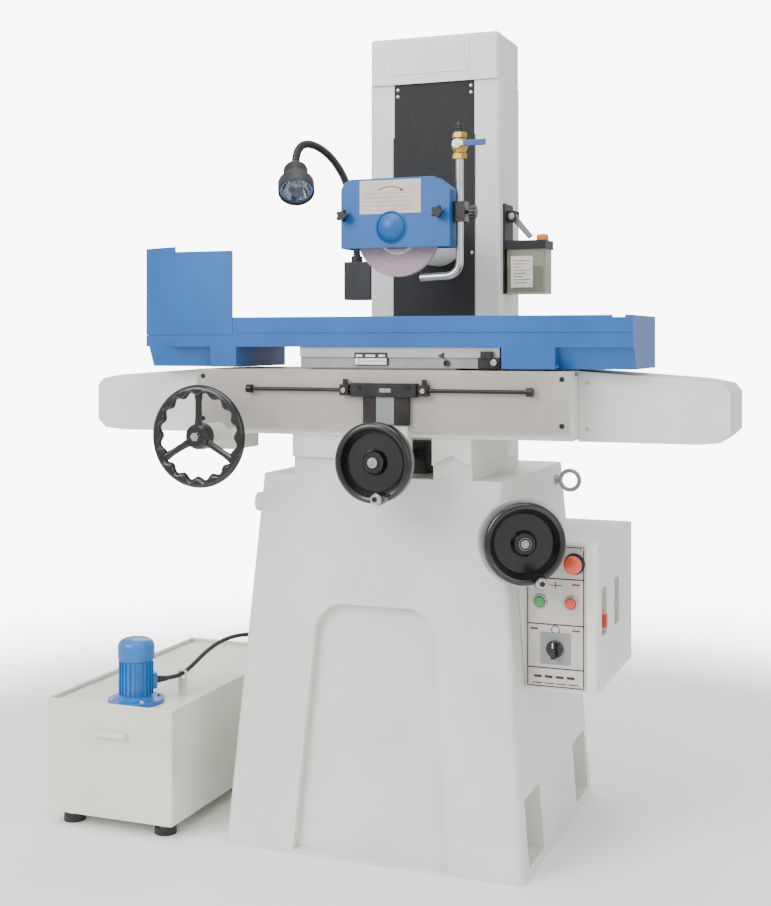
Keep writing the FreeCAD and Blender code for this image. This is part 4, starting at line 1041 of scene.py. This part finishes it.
@dataclass
class Wheelhead(Assembly):
    """Spindle housing, wheel guard with its cover, the wheel and the spindle motor."""

    fins: int = 32

    def build(self) -> None:
        """Makes the wheelhead and the spindle."""
        finished("wheelhead_casting", self.finishes.ivory_cast, 1.2)
        finished("guard_shell", self.finishes.blue, 0.6)
        self.cover()
        self.label()
        for name in ("guard_knob_left", "guard_knob_right"):
            self.star_knob(name)
        self.wheel()
        finished("spindle_shaft", self.finishes.steel, 0.4)
        finished("spindle_bearings", self.finishes.steel, 0.4)
        self.motor()

    def cover(self) -> None:
        """Pressed front cover with its round bulge over the spindle nose."""
        finished("guard_cover", self.finishes.blue, 0.5)
        low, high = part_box("guard_cover")
        centre = Vector(JOINTS["spindle_spin"]["pos_m"]) + mm(0, 0, 10)
        plate_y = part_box("guard_shell")[0].y - 0.003
        collar = turned([(31.5, 0), (34.5, 0.2), (33.5, 1.6), (31.0, 3.2), (30.0, 1.0), (31.5, 0)], 96)
        stand("guard_bulge_fillet", collar, Vector((centre.x, plate_y, centre.z)), Axis.TO_OPERATOR.value,
              "head", self.finishes.blue, slot="blue_paint")
        lip = strip([(low.x / MM + 2, low.z / MM + 2), (high.x / MM - 2, low.z / MM + 2)], 3.0,
                    plate_y / MM - 0.8, 1.0)
        settle("guard_cover_hem", lip, "head", self.finishes.blue, slot="blue_paint")

    def label(self) -> None:
        """Plain instruction plate: an arc arrow for the wheel's turning and rows of short rules."""
        y = (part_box("guard_shell")[0].y - 0.003) / MM
        x0, x1, z0, z1 = -58.0, 76.0, 1299.0, 1368.0
        plate = block(mm(x0, y - 0.9, z0), mm(x1, y + 0.2, z1), 0.35)
        settle("guard_label_plate", plate, "head", self.finishes.label, slot="panel_silver")
        rows = []
        for row in range(5):
            z = z1 - 27 - row * 8.4
            start = x0 + 10
            for dash in range(9):
                length = 5.0 + 6.5 * ((row * 5 + dash * 3) % 4) / 3
                if start + length < x1 - 8:
                    rows.append(strip([(start, z), (start + length, z)], 1.3, y - 1.3, 0.5))
                start += length + 3.2
        settle("guard_label_rules", join(rows), "head", self.finishes.grey_band, slot="dark_metal")
        sweep = [(9 + 58 * math.sin(a), z1 - 72 + 58 * math.cos(a)) for a in
                 [math.radians(-26 + 4.3 * i) for i in range(13)]]
        arrow = join([strip(sweep, 1.8, y - 1.3, 0.5),
                      flat_shape([(sweep[-1][0] + 6.5, sweep[-1][1] - 4),
                                  (sweep[-1][0] - 1.5, sweep[-1][1] + 3),
                                  (sweep[-1][0] - 3, sweep[-1][1] - 3.2)], y - 1.3, 0.5)])
        settle("wheel_turning_arrow", arrow, "head", self.finishes.red_ink, slot="red_plastic")

    def star_knob(self, node: str) -> None:
        """Five-lobed knob with a domed middle."""
        joint = next(j for j in frame["joints"] if j["child"] == body_of(node))
        centre = Vector((joint["pos_m"][0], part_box(node)[0].y, joint["pos_m"][2]))
        star = lofted(((0, 0.80), (-2, 0.95), (-7, 1.0), (-12, 0.95), (-15, 0.75), (-18, 0.55)),
                      lambda angle: 11.6 + 2.2 * math.cos(5 * angle), 60)
        stud = turned([(0, -9), (4, -9), (4, -52), (0, -52)], 24)
        stand(node + "_finished", join([star, stud]), centre, Axis.TO_OPERATOR.value, body_of(node),
              self.finishes.phenolic, [node])

    def wheel(self) -> None:
        """Grinding wheel with a dressed face, cream blotters, flanges and nut."""
        low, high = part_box("grinding_wheel")
        axis_at = Vector(JOINTS["spindle_spin"]["pos_m"])
        width, radius = (high.y - low.y) / MM, (high.z - low.z) / MM / 2
        disc = turned([(16.2, 0), (radius - 1.2, 0), (radius, 1.0), (radius, width - 1.0),
                       (radius - 1.2, width),
                       (16.2, width), (16.2, 0)], 160)
        stand("grinding_wheel_finished", disc, Vector((axis_at.x, high.y, axis_at.z)), Axis.TO_OPERATOR.value,
              "spindle", self.finishes.wheel, ["grinding_wheel"])
        ring = turned([(16.2, 0), (44, 0), (44, 0.7), (16.2, 0.7), (16.2, 0)], 96)
        stand("wheel_blotter", ring, Vector((axis_at.x, low.y, axis_at.z)), Axis.TO_OPERATOR.value, "spindle",
              self.finishes.blotter, slot="abrasive")
        finished("wheel_flanges", self.finishes.steel, 0.5)

    def motor(self) -> None:
        """Finned spindle motor with its fan cover and terminal box."""
        low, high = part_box("spindle_motor")
        axis_at = Vector(JOINTS["spindle_spin"]["pos_m"])
        start, end = low.y / MM, high.y / MM
        body = turned([(15, 0), (79, 0), (80, 1.5), (80, 14), (74, 16), (74, 150), (80, 152), (80, 163),
                       (77, 166), (77, 183), (70, 188.5), (0, 189), (0, 10), (15, 10), (15, 0)], 96)
        place(body, Vector((axis_at.x, low.y, axis_at.z)), Axis.TO_BACK.value)
        lid_low, lid_high = axis_at + mm(-34, start + 161 + 36, 70), axis_at + mm(34, start + 161 + 110, 108)
        terminal = join([block(lid_low, lid_high, 2.5),
                         block(lid_low + mm(-1, -1, 38), lid_high + mm(1, 1, 3.5), 1.2)])
        settle("spindle_motor_finished", join([body, terminal]), "head", self.finishes.charcoal,
               ["spindle_motor"])
        spots = []
        for i in range(self.fins):
            angle = 2 * math.pi * (i + 0.5) / self.fins
            radial = Vector((math.cos(angle), 0, math.sin(angle)))
            if radial.z < 0.86:
                spots.append((Vector((axis_at.x, low.y + 0.083, axis_at.z)) + radial * 73.5 * MM, radial))
        fin = block(mm(-66, -1.1, 0), mm(66, 1.1, 6.3), 0.5)
        copies("spindle_motor_fins", fin, spots, "head", self.finishes.charcoal, (0, 1, 0))
        slots = []
        for ring, count in ((22, 10), (38, 18), (54, 26)):
            for i in range(count):
                angle = 2 * math.pi * i / count
                slots.append((Vector((axis_at.x + ring * MM * math.cos(angle), end * MM + 0.0002,
                                      axis_at.z + ring * MM * math.sin(angle))), Vector((0, 1, 0))))
        # The fan cover's holes are not cut: flat black discs on its end stand for them, and their black is
        # painted shade, given the ink finish.
        hole_shade_disc = turned([(0, 0), (3.4, 0), (3.4, -0.6), (0, -0.6)], 12)
        copies("fan_cover_holes", hole_shade_disc, slots, "head", self.finishes.ink)


@dataclass
class CoolantNozzle(Assembly):
    """Clamp, bent pipe, ball valve and its lever."""

    def build(self) -> None:
        """Makes the coolant pieces beside the guard."""
        finished("nozzle_clamp", self.finishes.phenolic, 1.0)
        finished("nozzle_pipe", self.finishes.pipe, 0.0)
        self.valve()
        self.lever()
        self.knob()

    def valve(self) -> None:
        """Brass ball valve: hexagons at both ends, round body and hose barb."""
        x, y = JOINTS["valve_lever_turn"]["pos_m"][0], -0.170
        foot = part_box("nozzle_valve")[0].z
        parts = [hex_nut(15.5, 12)]
        ball = turned([(6.4, 12), (11, 12), (12, 15), (15, 19), (16.4, 24), (16.6, 30), (15, 36), (12, 41),
                       (11, 44),
                       (6.4, 44)], 48)
        top = hex_nut(15.5, 11)
        bmesh.ops.translate(top, vec=mm(0, 0, 43), verts=top.verts)
        parts += [ball, top]
        whole = join(parts)
        place(whole, Vector((x, y, foot)), Axis.UP.value)
        stem = turned([(0, 0), (7, 0), (7, 13), (5.5, 14), (0, 14)], 24)
        place(stem, Vector((x, y - 0.009, foot + 0.029)), Axis.TO_OPERATOR.value)
        settle("nozzle_valve_finished", join([whole, stem]), "nozzle", self.finishes.brass, ["nozzle_valve"])
        barb = turned([(5, 54), (8, 54), (8.6, 56), (7.4, 60), (8.6, 62), (7.4, 66), (8.4, 68), (7.4, 74),
                       (7, 76),
                       (5, 76), (5, 54)], 32)
        stand("hose_barb", barb, Vector((x, y, foot)), Axis.UP.value, "nozzle", self.finishes.dark_steel,
              slot="steel")

    def lever(self) -> None:
        """Cranked lever with a dipped blue grip and its nut."""
        low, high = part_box("valve_lever")
        pivot = Vector(JOINTS["valve_lever_turn"]["pos_m"])
        steel_end = block(Vector((pivot.x, low.y + 0.001, low.z + 0.0045)),
                          Vector((pivot.x + 0.022, low.y + 0.003, high.z - 0.0045)), 0.4)
        eye = turned([(0, 0), (9, 0), (9, 2.5), (0, 2.5)], 32)
        place(eye, Vector((pivot.x, high.y - 0.001, pivot.z)), Axis.TO_OPERATOR.value)
        nut = hex_nut(5.5, 4)
        place(nut, Vector((pivot.x, high.y - 0.002, pivot.z)), Axis.TO_OPERATOR.value)
        settle("valve_lever_stem", join([steel_end, eye, nut]), "valve", self.finishes.steel, slot="steel")
        grip = block(Vector((pivot.x + 0.014, low.y, low.z + 0.0028)),
                     Vector((high.x, low.y + 0.0045, high.z - 0.0028)),
                     1.9, 3)
        settle("valve_lever_finished", grip, "valve", self.finishes.lever_blue, ["valve_lever"])

    def knob(self) -> None:
        """Clamp screw with a fluted knob."""
        low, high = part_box("nozzle_knob")
        centre = Vector((high.x - 0.015, (low.y + high.y) / 2, (low.z + high.z) / 2))
        fluted = lofted(((0, 0.9), (1.5, 1.0), (12, 1.0), (14.2, 0.9), (15, 0.6)),
                        lambda angle: 13.2 + 0.8 * math.cos(12 * angle), 96)
        stud = turned([(0, 1), (4, 1), (4, -12), (0, -12)], 24)
        stand("nozzle_knob_finished", join([fluted, stud]), centre, Axis.X.value, "nozzle_screw",
              self.finishes.phenolic, ["nozzle_knob"])


@dataclass
class Electrics(Assembly):
    """Cabinet on the base's side with its control panel, buttons, switch and windows."""

    def build(self) -> None:
        """Makes the cabinet and everything on it."""
        finished("electrical_cabinet", self.finishes.ivory_sheet, 1.5)
        self.panel()
        self.buttons()
        self.switch()
        self.windows()

    def panel(self) -> None:
        """Printed panel in framed fields, with generic signs, and screws at its corners."""
        low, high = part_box("control_panel")
        face_y = high.y - 0.003
        sheet = block(Vector((low.x, face_y, low.z)), Vector((high.x, high.y, high.z)), 0.5)
        settle("control_panel_finished", sheet, "root", self.finishes.panel, ["control_panel"])
        x0, x1, z0, z1 = low.x / MM + 4, high.x / MM - 4, low.z / MM + 4, high.z / MM - 4
        y = face_y / MM - 0.45
        lines = [strip([(x0, z0), (x1, z0), (x1, z1), (x0, z1), (x0, z0)], 2.0, y)]
        for z in (572.0, 482.0, 396.0):
            lines.append(strip([(x0, z), (x1, z)], 2.2, y))
        settle("panel_frames", join(lines), "root", self.finishes.ink, slot="dark_metal")
        self.signs(x0, x1, y)
        spots = [(Vector((x, face_y, z)), Vector((0, -1, 0))) for x in (low.x + 0.007, high.x - 0.007)
                 for z in (low.z + 0.007, high.z - 0.007)]
        copies("panel_screws", pan_screw(3.2, 1.6), spots, "root", self.finishes.steel)

    def signs(self, x0: float, x1: float, y: float) -> None:
        """Generic signs: red state bars, a wheel sign and a tap sign, and rules at the foot.

        Args:
            x0, x1: the ends of the panel's frame, in millimetres.
            y: the front of the printing.
        """
        red = [strip([(x0 + 8, 630), (x0 + 24, 630)], 3.4, y), strip([(x1 - 22, 562), (x1 - 8, 562)], 3.4, y),
               strip([(x1 - 22, 472), (x1 - 8, 472)], 3.4, y)]
        settle("panel_red_bars", join(red), "root", self.finishes.red_ink, slot="red_plastic")
        middle = (x0 + x1) / 2
        ring = [(middle + 8 * math.cos(a),
                 472 + 8 * math.sin(a)) for a in [math.radians(30 * i) for i in range(13)]]
        dark = [strip(ring, 1.5, y), strip([(middle - 12, 559), (middle + 12, 559)], 1.6, y),
                strip([(middle, 553), (middle, 566)], 1.6, y), strip([(x0 + 6, 562), (x0 + 20, 562)], 3.0, y),
                strip([(x0 + 6, 472), (x0 + 20, 472)], 3.0, y)]
        for i in range(4):
            dark.append(strip([(x0 + 14 + i * 22, 379), (x0 + 27 + i * 22, 379)], 5.0, y))
            dark.append(strip([(x0 + 10 + i * 24, 366), (x0 + 29 + i * 24, 366)], 1.8, y))
        settle("panel_signs", join(dark), "root", self.finishes.ink, slot="dark_metal")

    def buttons(self) -> None:
        """Emergency stop, start and stop with their bezels."""
        for node, material, radius in (("estop_button", self.finishes.red, 21.0),
                                       ("start_button", self.finishes.green, 14.5),
                                       ("stop_button", self.finishes.red, 14.5)):
            low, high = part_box(node)
            joint = next(j for j in frame["joints"] if j["child"] == body_of(node))
            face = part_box("control_panel")[1].y - 0.003
            centre = Vector(((low.x + high.x) / 2, face, (low.z + high.z) / 2))
            if node == "estop_button":
                cap = turned([(0, 24), (6, 23.6), (12, 22.2), (16, 19.6), (18, 16.4), (18, 14.6),
                              (16.5, 13.6),
                              (9, 11.5), (8, 10.5), (8, -29), (0, -29)], 64)
                bezel = turned([(8.3, 0), (21, 0), (21, 2.2), (19.5, 3), (8.3, 3), (8.3, 0)], 64)
            else:
                cap = turned([(0, 9.6), (5, 9.4), (8.4, 8.6), (10, 6.8), (10, -9), (7, -9), (7, -29),
                              (0, -29)], 48)
                bezel = turned([(10.4, 0), (radius, 0), (radius, 3), (13, 5), (11.5, 5), (10.4, 4),
                                (10.4, 0)], 48)
            stand(node + "_finished", cap, centre, Axis.TO_OPERATOR.value, joint["child"], material, [node])
            stand(node + "_bezel", bezel, centre, Axis.TO_OPERATOR.value, "root",
                   self.finishes.ink if node == "estop_button" else self.finishes.steel, slot="panel_silver")

    def switch(self) -> None:
        """Rotary switch: square grey plate, black disc and a winged grip with a white pointer."""
        low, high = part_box("switch_knob")
        x, z = (low.x + high.x) / 2 / MM, (low.z + high.z) / 2 / MM
        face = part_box("control_panel")[1].y / MM - 3
        plate = block(mm(x - 30, face - 3, z - 31), mm(x + 30, face, z + 31), 1.4)
        settle("switch_plate", plate, "root", self.finishes.grey_plastic, slot="panel_silver")
        disc = turned([(0, 6), (15, 6), (17, 4), (17, 0), (0, 0)], 48)
        place(disc, mm(x, face - 3.4, z), Axis.TO_OPERATOR.value)
        wing = block(mm(x - 4.6, face - 24, z - 17), mm(x + 4.6, face - 6, z + 17), 2.2, 3)
        settle("switch_knob_finished", join([disc, wing]), "switch", self.finishes.phenolic, ["switch_knob"])
        mark = block(mm(x - 0.9, face - 24.5, z + 5), mm(x + 0.9, face - 23.6, z + 15.5), 0.2)
        settle("switch_pointer", mark, "switch", self.finishes.paper, slot="panel_silver")

    def windows(self) -> None:
        """Dark backs of the two windows in the cabinet's side, the isolator lever and side screws."""
        low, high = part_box("electrical_cabinet")
        for number, y in enumerate((-0.154, -0.030)):
            pane = block(Vector((high.x - 0.0118, y + 0.0005, 0.4555)),
                         Vector((high.x - 0.0105, y + 0.0475, 0.5495)), 0.2)
            settle(f"window_back_{number + 1}", pane, "root", self.finishes.window, slot="dark_metal")
        finished("breaker_lever", self.finishes.red, 0.8)
        spots = [(Vector((high.x, y, z)), Vector((1, 0, 0))) for y in (low.y + 0.014, high.y - 0.014)
                 for z in (low.z + 0.016, high.z - 0.016)]
        copies("cabinet_screws", pan_screw(4.0, 1.8), spots, "root", self.finishes.steel)


@dataclass
class Lubricator(Assembly):
    """Hand-pumped oiler on the column's right side."""

    oil_level: float = 0.62

    def build(self) -> None:
        """Makes the pump head, its lever, the reservoir, the oil and a plain label."""
        finished("lubricator_body", self.finishes.charcoal, 0.8)
        finished("lubricator_lever", self.finishes.grey_plastic, 1.0)
        finished("lubricator_reservoir", self.finishes.reservoir, 1.0)
        low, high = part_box("lubricator_reservoir")
        top = low.z + (high.z - low.z) * self.oil_level
        oil = block(low + mm(3.2, 3.2, 3.2), Vector((high.x - 0.0032, high.y - 0.0032, top)), 2.5)
        settle("way_oil_fill", oil, "root", self.finishes.oil, slot="reservoir_plastic")
        x0, x1, y = low.x / MM + 12, low.x / MM + 62, low.y / MM
        label = block(mm(x0, y - 0.5, low.z / MM + 14), mm(x1, y + 0.2, high.z / MM - 16), 0.1)
        settle("oiler_label", label, "root", self.finishes.paper, slot="panel_silver")
        rules = [strip([(x0 + 6, high.z / MM - 26 - 7 * i), (x1 - 6 - 9 * (i % 3), high.z / MM - 26 - 7 * i)],
                       1.3, y - 0.9, 0.5)
                 for i in range(8)]
        settle("oiler_label_rules", join(rules), "root", self.finishes.red_ink, slot="red_plastic")
        cap = turned([(0, 15), (9, 15), (12.5, 13), (13.6, 10), (13.6, 1), (13, 0), (0, 0)], 32)
        stand("oiler_filler_cap", cap, mm(236, 160, 1262), Axis.UP.value, "root", self.finishes.orange,
              slot="red_plastic")
        pin = join([turned([(0, 2.5), (7.5, 2.5), (8, 1.5), (8, 0), (0, 0)], 32), hex_nut(5, 4)])
        stand("oiler_pivot_cap", pin, mm(168, 144, 1318), Axis.TO_OPERATOR.value, "root", self.finishes.steel,
              slot="steel")


@dataclass
class WorkLamp(Assembly):
    """Gooseneck lamp with its base box on the column's left side."""

    rib_pitch: float = 4.2
    route: tuple = ((-200, 130, 1236), (-202, 128, 1300), (-208, 118, 1362), (-217, 94, 1420),
                    (-243, 58, 1470),
                    (-274, 14, 1490), (-286, -24, 1466), (-274, -51, 1426))
    axis: tuple = (0.30, -0.60, -0.74)

    def build(self) -> None:
        """Makes the box, the ribbed neck and the head with its reflector."""
        finished("lamp_box", self.finishes.charcoal, 1.2)
        self.neck()
        self.head()

    def neck(self) -> None:
        """Flexible metal hose: a core along the bend with close round ribs."""
        core = tube([mm(*p) for p in self.route], 7.6 * MM, "lamp_neck_core", self.finishes.phenolic)
        points = line_points(core)
        bpy.context.view_layer.update()
        mesh = bpy.data.meshes.new_from_object(core.evaluated_get(bpy.context.evaluated_depsgraph_get()))
        bpy.data.objects.remove(core)
        bm = bmesh.new()
        bm.from_mesh(mesh)
        mesh.materials.clear()
        settle("lamp_arm_finished", bm, "lamp", self.finishes.phenolic, ["lamp_arm"])
        spots, travelled, due = [], 0.0, 0.0
        for a, b in zip(points, points[1:]):
            step = b - a
            while due <= travelled + step.length and step.length > 0:
                spots.append((a + step * ((due - travelled) / step.length), step.normalized()))
                due += self.rib_pitch * MM
            travelled += step.length
        rib = turned([(6.5, -1.7), (8.4, -1.5), (9.0, -0.5), (9.0, 0.5), (8.4, 1.5), (6.5, 1.7), (6.5, -1.7)],
                     24)
        copies("lamp_neck_ribs", rib, spots, "lamp", self.finishes.phenolic, (0, 1, 0))

    def head(self) -> None:
        """Spun bell with cooling grooves, polished reflector, bulb and a dished lens."""
        top = mm(*self.route[-1])
        bell = turned([(0, -6), (9.5, -6), (20, 2), (25, 9), (27, 14), (27, 18), (25.5, 19), (27, 20),
                       (27, 24),
                       (25.5, 25), (27, 26), (27, 30), (25.5, 31), (27, 32), (27.5, 40), (33, 47), (39.4, 56),
                       (40, 59), (40, 84), (39, 86), (37.4, 86), (37, 84), (37, 58), (25, 44), (20, 30), (0,
                                                                                                          30),
                       (0, -6)], 96)
        stand("lamp_head_finished", bell, top, self.axis, "lamp", self.finishes.charcoal, ["lamp_head"])
        cup = turned([(8, 32), (18, 38), (27, 50), (33, 64), (36.6, 78), (36.6, 80), (31, 80), (25, 64),
                      (18, 50),
                      (8, 44), (8, 32)], 96)
        stand("lamp_reflector_cup", cup, top, self.axis, "lamp", self.finishes.mirror, slot="steel")
        bulb = turned([(0, 66), (6, 64.5), (10, 60), (11, 54), (9, 47), (6, 42), (6, 36), (0, 36)], 40)
        stand("lamp_bulb", bulb, top, self.axis, "lamp", self.finishes.opal, slot="panel_silver")
        lens = turned([(0, 81.6), (16, 81.2), (30, 80.2), (36.6, 79), (36.6, 77.6), (30, 78.4), (0, 79.6)],
                      64)
        stand("lamp_lens", lens, top, self.axis, "lamp", self.finishes.glass, slot="reservoir_plastic")


@dataclass
class CoolantTank(Assembly):
    """Coolant tank on the floor with its pump and the pump's cable."""

    fins: int = 22
    cable_diameter: float = 9.5
    cable_length: float = 0.475
    cable_route: tuple = ((-519, -234, 306), (-498, -208, 305), (-487, -175, 308), (-485, -130, 320),
                          (-484, -75, 336), (-479, -20, 347), (-465, 35, 351), (-440, 80, 347),
                          (-405, 110, 337), (-362, 127, 326), (-318, 131, 316))

    def build(self) -> None:
        """Makes the tank, the pump and the cable."""
        finished("tank_shell", self.finishes.tank_sheet, 0.9)
        finished("tank_lid", self.finishes.tank_sheet, 0.5)
        finished("pump_rotor", self.finishes.steel, 0.3)
        self.rim()
        self.foot_pads()
        self.pump()
        self.cable()

    def rim(self) -> None:
        """Rolled wire edge round the top of the tank."""
        low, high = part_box("tank_shell")
        y_front = low.y + 0.014
        z = high.z - 0.002
        x0, x1, y0, y1 = low.x + 0.002, high.x - 0.002, y_front + 0.002, high.y - 0.002
        runs = [((x0, y0), (x1, y0)), ((x1, y0), (x1, y1)), ((x1, y1), (x0, y1)), ((x0, y1), (x0, y0))]
        parts = []
        for (ax, ay), (bx, by) in runs:
            start, end = Vector((ax, ay, z)), Vector((bx, by, z))
            run = turned([(0, 0), (3.2, 0), (3.2, (end - start).length / MM), (0, (end - start).length / MM)],
                         16)
            place(run, start, (end - start).normalized())
            ball = bmesh.new()
            bmesh.ops.create_uvsphere(ball, u_segments=16, v_segments=10, radius=3.2 * MM)
            bmesh.ops.translate(ball, vec=start, verts=ball.verts)
            parts += [run, ball]
        settle("tank_rolled_rim", join(parts), "root", self.finishes.tank_sheet, slot="ivory_sheet")

    def foot_pads(self) -> None:
        """Dark rubber pads round the bottoms of the tank's feet."""
        shell = frame["nodes"]["tank_shell"].data
        low = [v.co for v in shell.vertices if v.co.z < 0.001]
        centre = sum(low, Vector()) / len(low)
        spots = []
        for sx in (-1, 1):
            for sy in (-1, 1):
                near = [v for v in low if (v.x - centre.x) * sx > 0 and (v.y - centre.y) * sy > 0]
                spots.append((sum(near, Vector()) / len(near), Vector((0, 0, 1))))
        wide = max(v.x for v in low) - (max(v.x for v in low) + min(v.x for v in low if v.x > centre.x)) / 2
        pad = turned([(0, 0.0), (wide / MM + 1.2, 0.0), (wide / MM + 1.6, 1.0), (wide / MM + 1.0, 16),
                      (0, 16),
                      (0, 0.0)], 32)
        copies("tank_foot_pads", pad, spots, "root", self.finishes.rubber, (1, 0, 0))

    def pump(self) -> None:
        """Pump motor: flange, finned body, fan cowl, terminal box and bolts."""
        joint = JOINTS["pump_rotor_spin"]
        base = Vector((joint["pos_m"][0], joint["pos_m"][1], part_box("tank_lid")[0].z + 0.003))
        body = turned([(5.3, -195), (30, -195), (36, -190), (36, 0), (59, 0), (60, 1), (60, 8), (58.5, 9.2),
                       (46, 9.5), (42, 12), (38, 14), (34.5, 17), (34.5, 90), (38, 92), (39, 95), (39, 121),
                       (37.5, 127), (33, 133), (26, 136.5), (0, 138), (0, 30), (5.3, 30), (5.3, -195)], 80)
        place(body, base, Axis.UP.value)
        terminal = block(mm(30, -15, 27), mm(42, 15, 61), 1.6)
        lid = block(mm(41.5, -13.5, 29), mm(43.2, 13.5, 59), 0.6)
        box_pieces = join([terminal, lid])
        turn = Matrix.Translation(base) @ Matrix.Rotation(math.radians(45), 4, "Z")
        bmesh.ops.transform(box_pieces, matrix=turn, verts=box_pieces.verts)
        settle("pump_motor_finished", join([body, box_pieces]), "root", self.finishes.blue_cast,
               ["pump_motor"])
        spots = []
        for i in range(self.fins):
            angle = 2 * math.pi * i / self.fins
            if abs(angle - math.pi / 4) > 0.42:
                radial = Vector((math.cos(angle), math.sin(angle), 0))
                spots.append((base + mm(0, 0, 53.5) + radial * 34 * MM, radial))
        fin = block(mm(-35, -1.1, 0), mm(35, 1.1, 3.6), 0.5)
        copies("pump_motor_fins", fin, spots, "root", self.finishes.blue_cast, (0, 0, 1))
        bolts = [(base + mm(51 * math.cos(a), 51 * math.sin(a), 9), Vector((0, 0, 1)))
                 for a in [math.radians(45 + 90 * i) for i in range(4)]]
        copies("pump_flange_bolts", join([turned([(0, 1.2), (6.4, 1.2), (6.4, 0), (0, 0)], 24),
                                          hex_nut(5.2, 5)]), bolts,
               "root", self.finishes.steel, (1, 0, 0))

    def cable(self) -> None:
        """Rubber cable from the pump's terminal box through the clip to the gland on the base."""
        route = [mm(*p) for p in self.cable_route]
        cable = tube(route, self.cable_diameter * MM / 2, "pump_cable_finished", self.finishes.rubber)
        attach(cable, "root")
        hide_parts("pump_cable")
        gland = turned([(5.0, 13), (8.4, 13), (9, 12), (9.6, 2), (9.6, 0), (5.0, -2), (5.0, 13)], 32)
        heading = (route[1] - route[0]).normalized()
        sleeve = turned([(4.9, -6), (8.4, -6), (8.4, 0), (7.4, 5), (6.4, 14), (5.6, 22), (5.0, 23), (4.9, 23),
                         (4.9, -6)], 32)
        stand("pump_cable_relief", sleeve, route[0], heading, "root", self.finishes.rubber, slot="rubber")
        inward = (route[-2] - route[-1]).normalized()
        stand("base_cable_relief", gland, route[-1], inward, "root", self.finishes.rubber, slot="rubber")
        finished("cable_gland", self.finishes.phenolic, 0.8)


@dataclass
class Studio:
    """Pale floor, soft lights and the camera."""

    camera_at: tuple = (1.003, -2.8185, 1.040)
    camera_turn: float = 21.0
    lens: float = 54.3
    rise: float = -0.1247
    sky: float = 1.0
    backdrop: float = 9.0
    floor_radius: float = 5.0
    floor_solid: float = 1.3

    def floor_finish(self) -> Material:
        """Matt white floor that melts into the backdrop away from the machine."""
        made = bpy.data.materials.new("matt_white_floor")
        made.use_nodes = True
        tree = made.node_tree
        tree.nodes.clear()
        place_of = add(tree, "ShaderNodeTexCoord").outputs["Object"]
        far = add(tree, "ShaderNodeVectorMath", None, {0: place_of}, operation="LENGTH")
        fade = add(tree, "ShaderNodeMapRange",
                   {"From Min": self.floor_solid, "From Max": self.floor_solid + 1.6},
                   {"Value": far.outputs["Value"]}, interpolation_type="SMOOTHSTEP")
        matt = add(tree, "ShaderNodeBsdfPrincipled", {"Base Color": linear("F6F6F4"), "Roughness": 0.9})
        clear = add(tree, "ShaderNodeBsdfTransparent")
        mix = add(tree, "ShaderNodeMixShader", None,
                  {0: fade.outputs[0], 1: matt.outputs[0], 2: clear.outputs[0]})
        add(tree, "ShaderNodeOutputMaterial", None, {"Surface": mix.outputs[0]})
        return made

    def build(self) -> None:
        """Makes the floor, the lights and the camera."""
        bm = bmesh.new()
        bmesh.ops.create_circle(bm, cap_ends=True, segments=96, radius=self.floor_radius)
        mesh = bpy.data.meshes.new("floor")
        bm.to_mesh(mesh)
        bm.free()
        mesh.materials.append(self.floor_finish())
        floor = bpy.data.objects.new("floor", mesh)
        bpy.context.scene.collection.objects.link(floor)
        self.light("key", (-2.4, -4.4, 3.6), (0, 0, 0.9), 3.0, 250)
        self.light("fill", (4.2, -2.4, 2.4), (0, 0, 0.9), 3.0, 45)
        self.light("top", (0.3, -0.8, 4.6), (0, 0, 0.5), 3.2, 110)
        self.light("rim", (-1.8, 3.8, 3.0), (0, 0, 1.0), 2.5, 60)
        world = bpy.data.worlds.new("studio")
        bpy.context.scene.world = world
        world.use_nodes = True
        tree = world.node_tree
        tree.nodes.clear()
        seen = add(tree, "ShaderNodeBackground", {"Color": linear("FFFFFF"), "Strength": self.backdrop})
        soft = add(tree, "ShaderNodeBackground", {"Color": linear("FFFFFF"), "Strength": self.sky})
        mix = add(tree, "ShaderNodeMixShader", None,
                  {0: add(tree, "ShaderNodeLightPath").outputs["Is Camera Ray"], 1: soft.outputs[0],
                   2: seen.outputs[0]})
        add(tree, "ShaderNodeOutputWorld", None, {"Surface": mix.outputs[0]})
        data = bpy.data.cameras.new("camera")
        data.lens, data.sensor_width, data.shift_y = self.lens, 36, self.rise
        data.clip_end = 100
        camera = bpy.data.objects.new("camera", data)
        bpy.context.scene.collection.objects.link(camera)
        camera.location = self.camera_at
        camera.rotation_euler = (math.radians(90), 0, math.radians(self.camera_turn))
        bpy.context.scene.camera = camera

    def light(self, name: str, at: Sequence[float], to: Sequence[float], size: float, power: float) -> None:
        """One soft square lamp aimed at a point."""
        data = bpy.data.lights.new(name, "AREA")
        data.size, data.energy = size, power
        lamp = bpy.data.objects.new(name, data)
        bpy.context.scene.collection.objects.link(lamp)
        lamp.location = at
        lamp.rotation_euler = (Vector(to) - Vector(at)).to_track_quat("-Z", "Y").to_euler()


def main() -> None:
    """Builds the studio and every sub-assembly."""
    logging.basicConfig(level=logging.INFO, format="%(message)s")
    Studio().build()
    finishes = Finishes()
    makers: list[Callable] = [CoolantTank, BaseAndColumn, Saddle, Table, Handwheels, Wheelhead, CoolantNozzle,
                              Electrics, Lubricator, WorkLamp]
    for maker in makers:
        maker(finishes).build()
        LOG.info("built %s", maker.__name__)


if __name__ == "__main__":
    main()
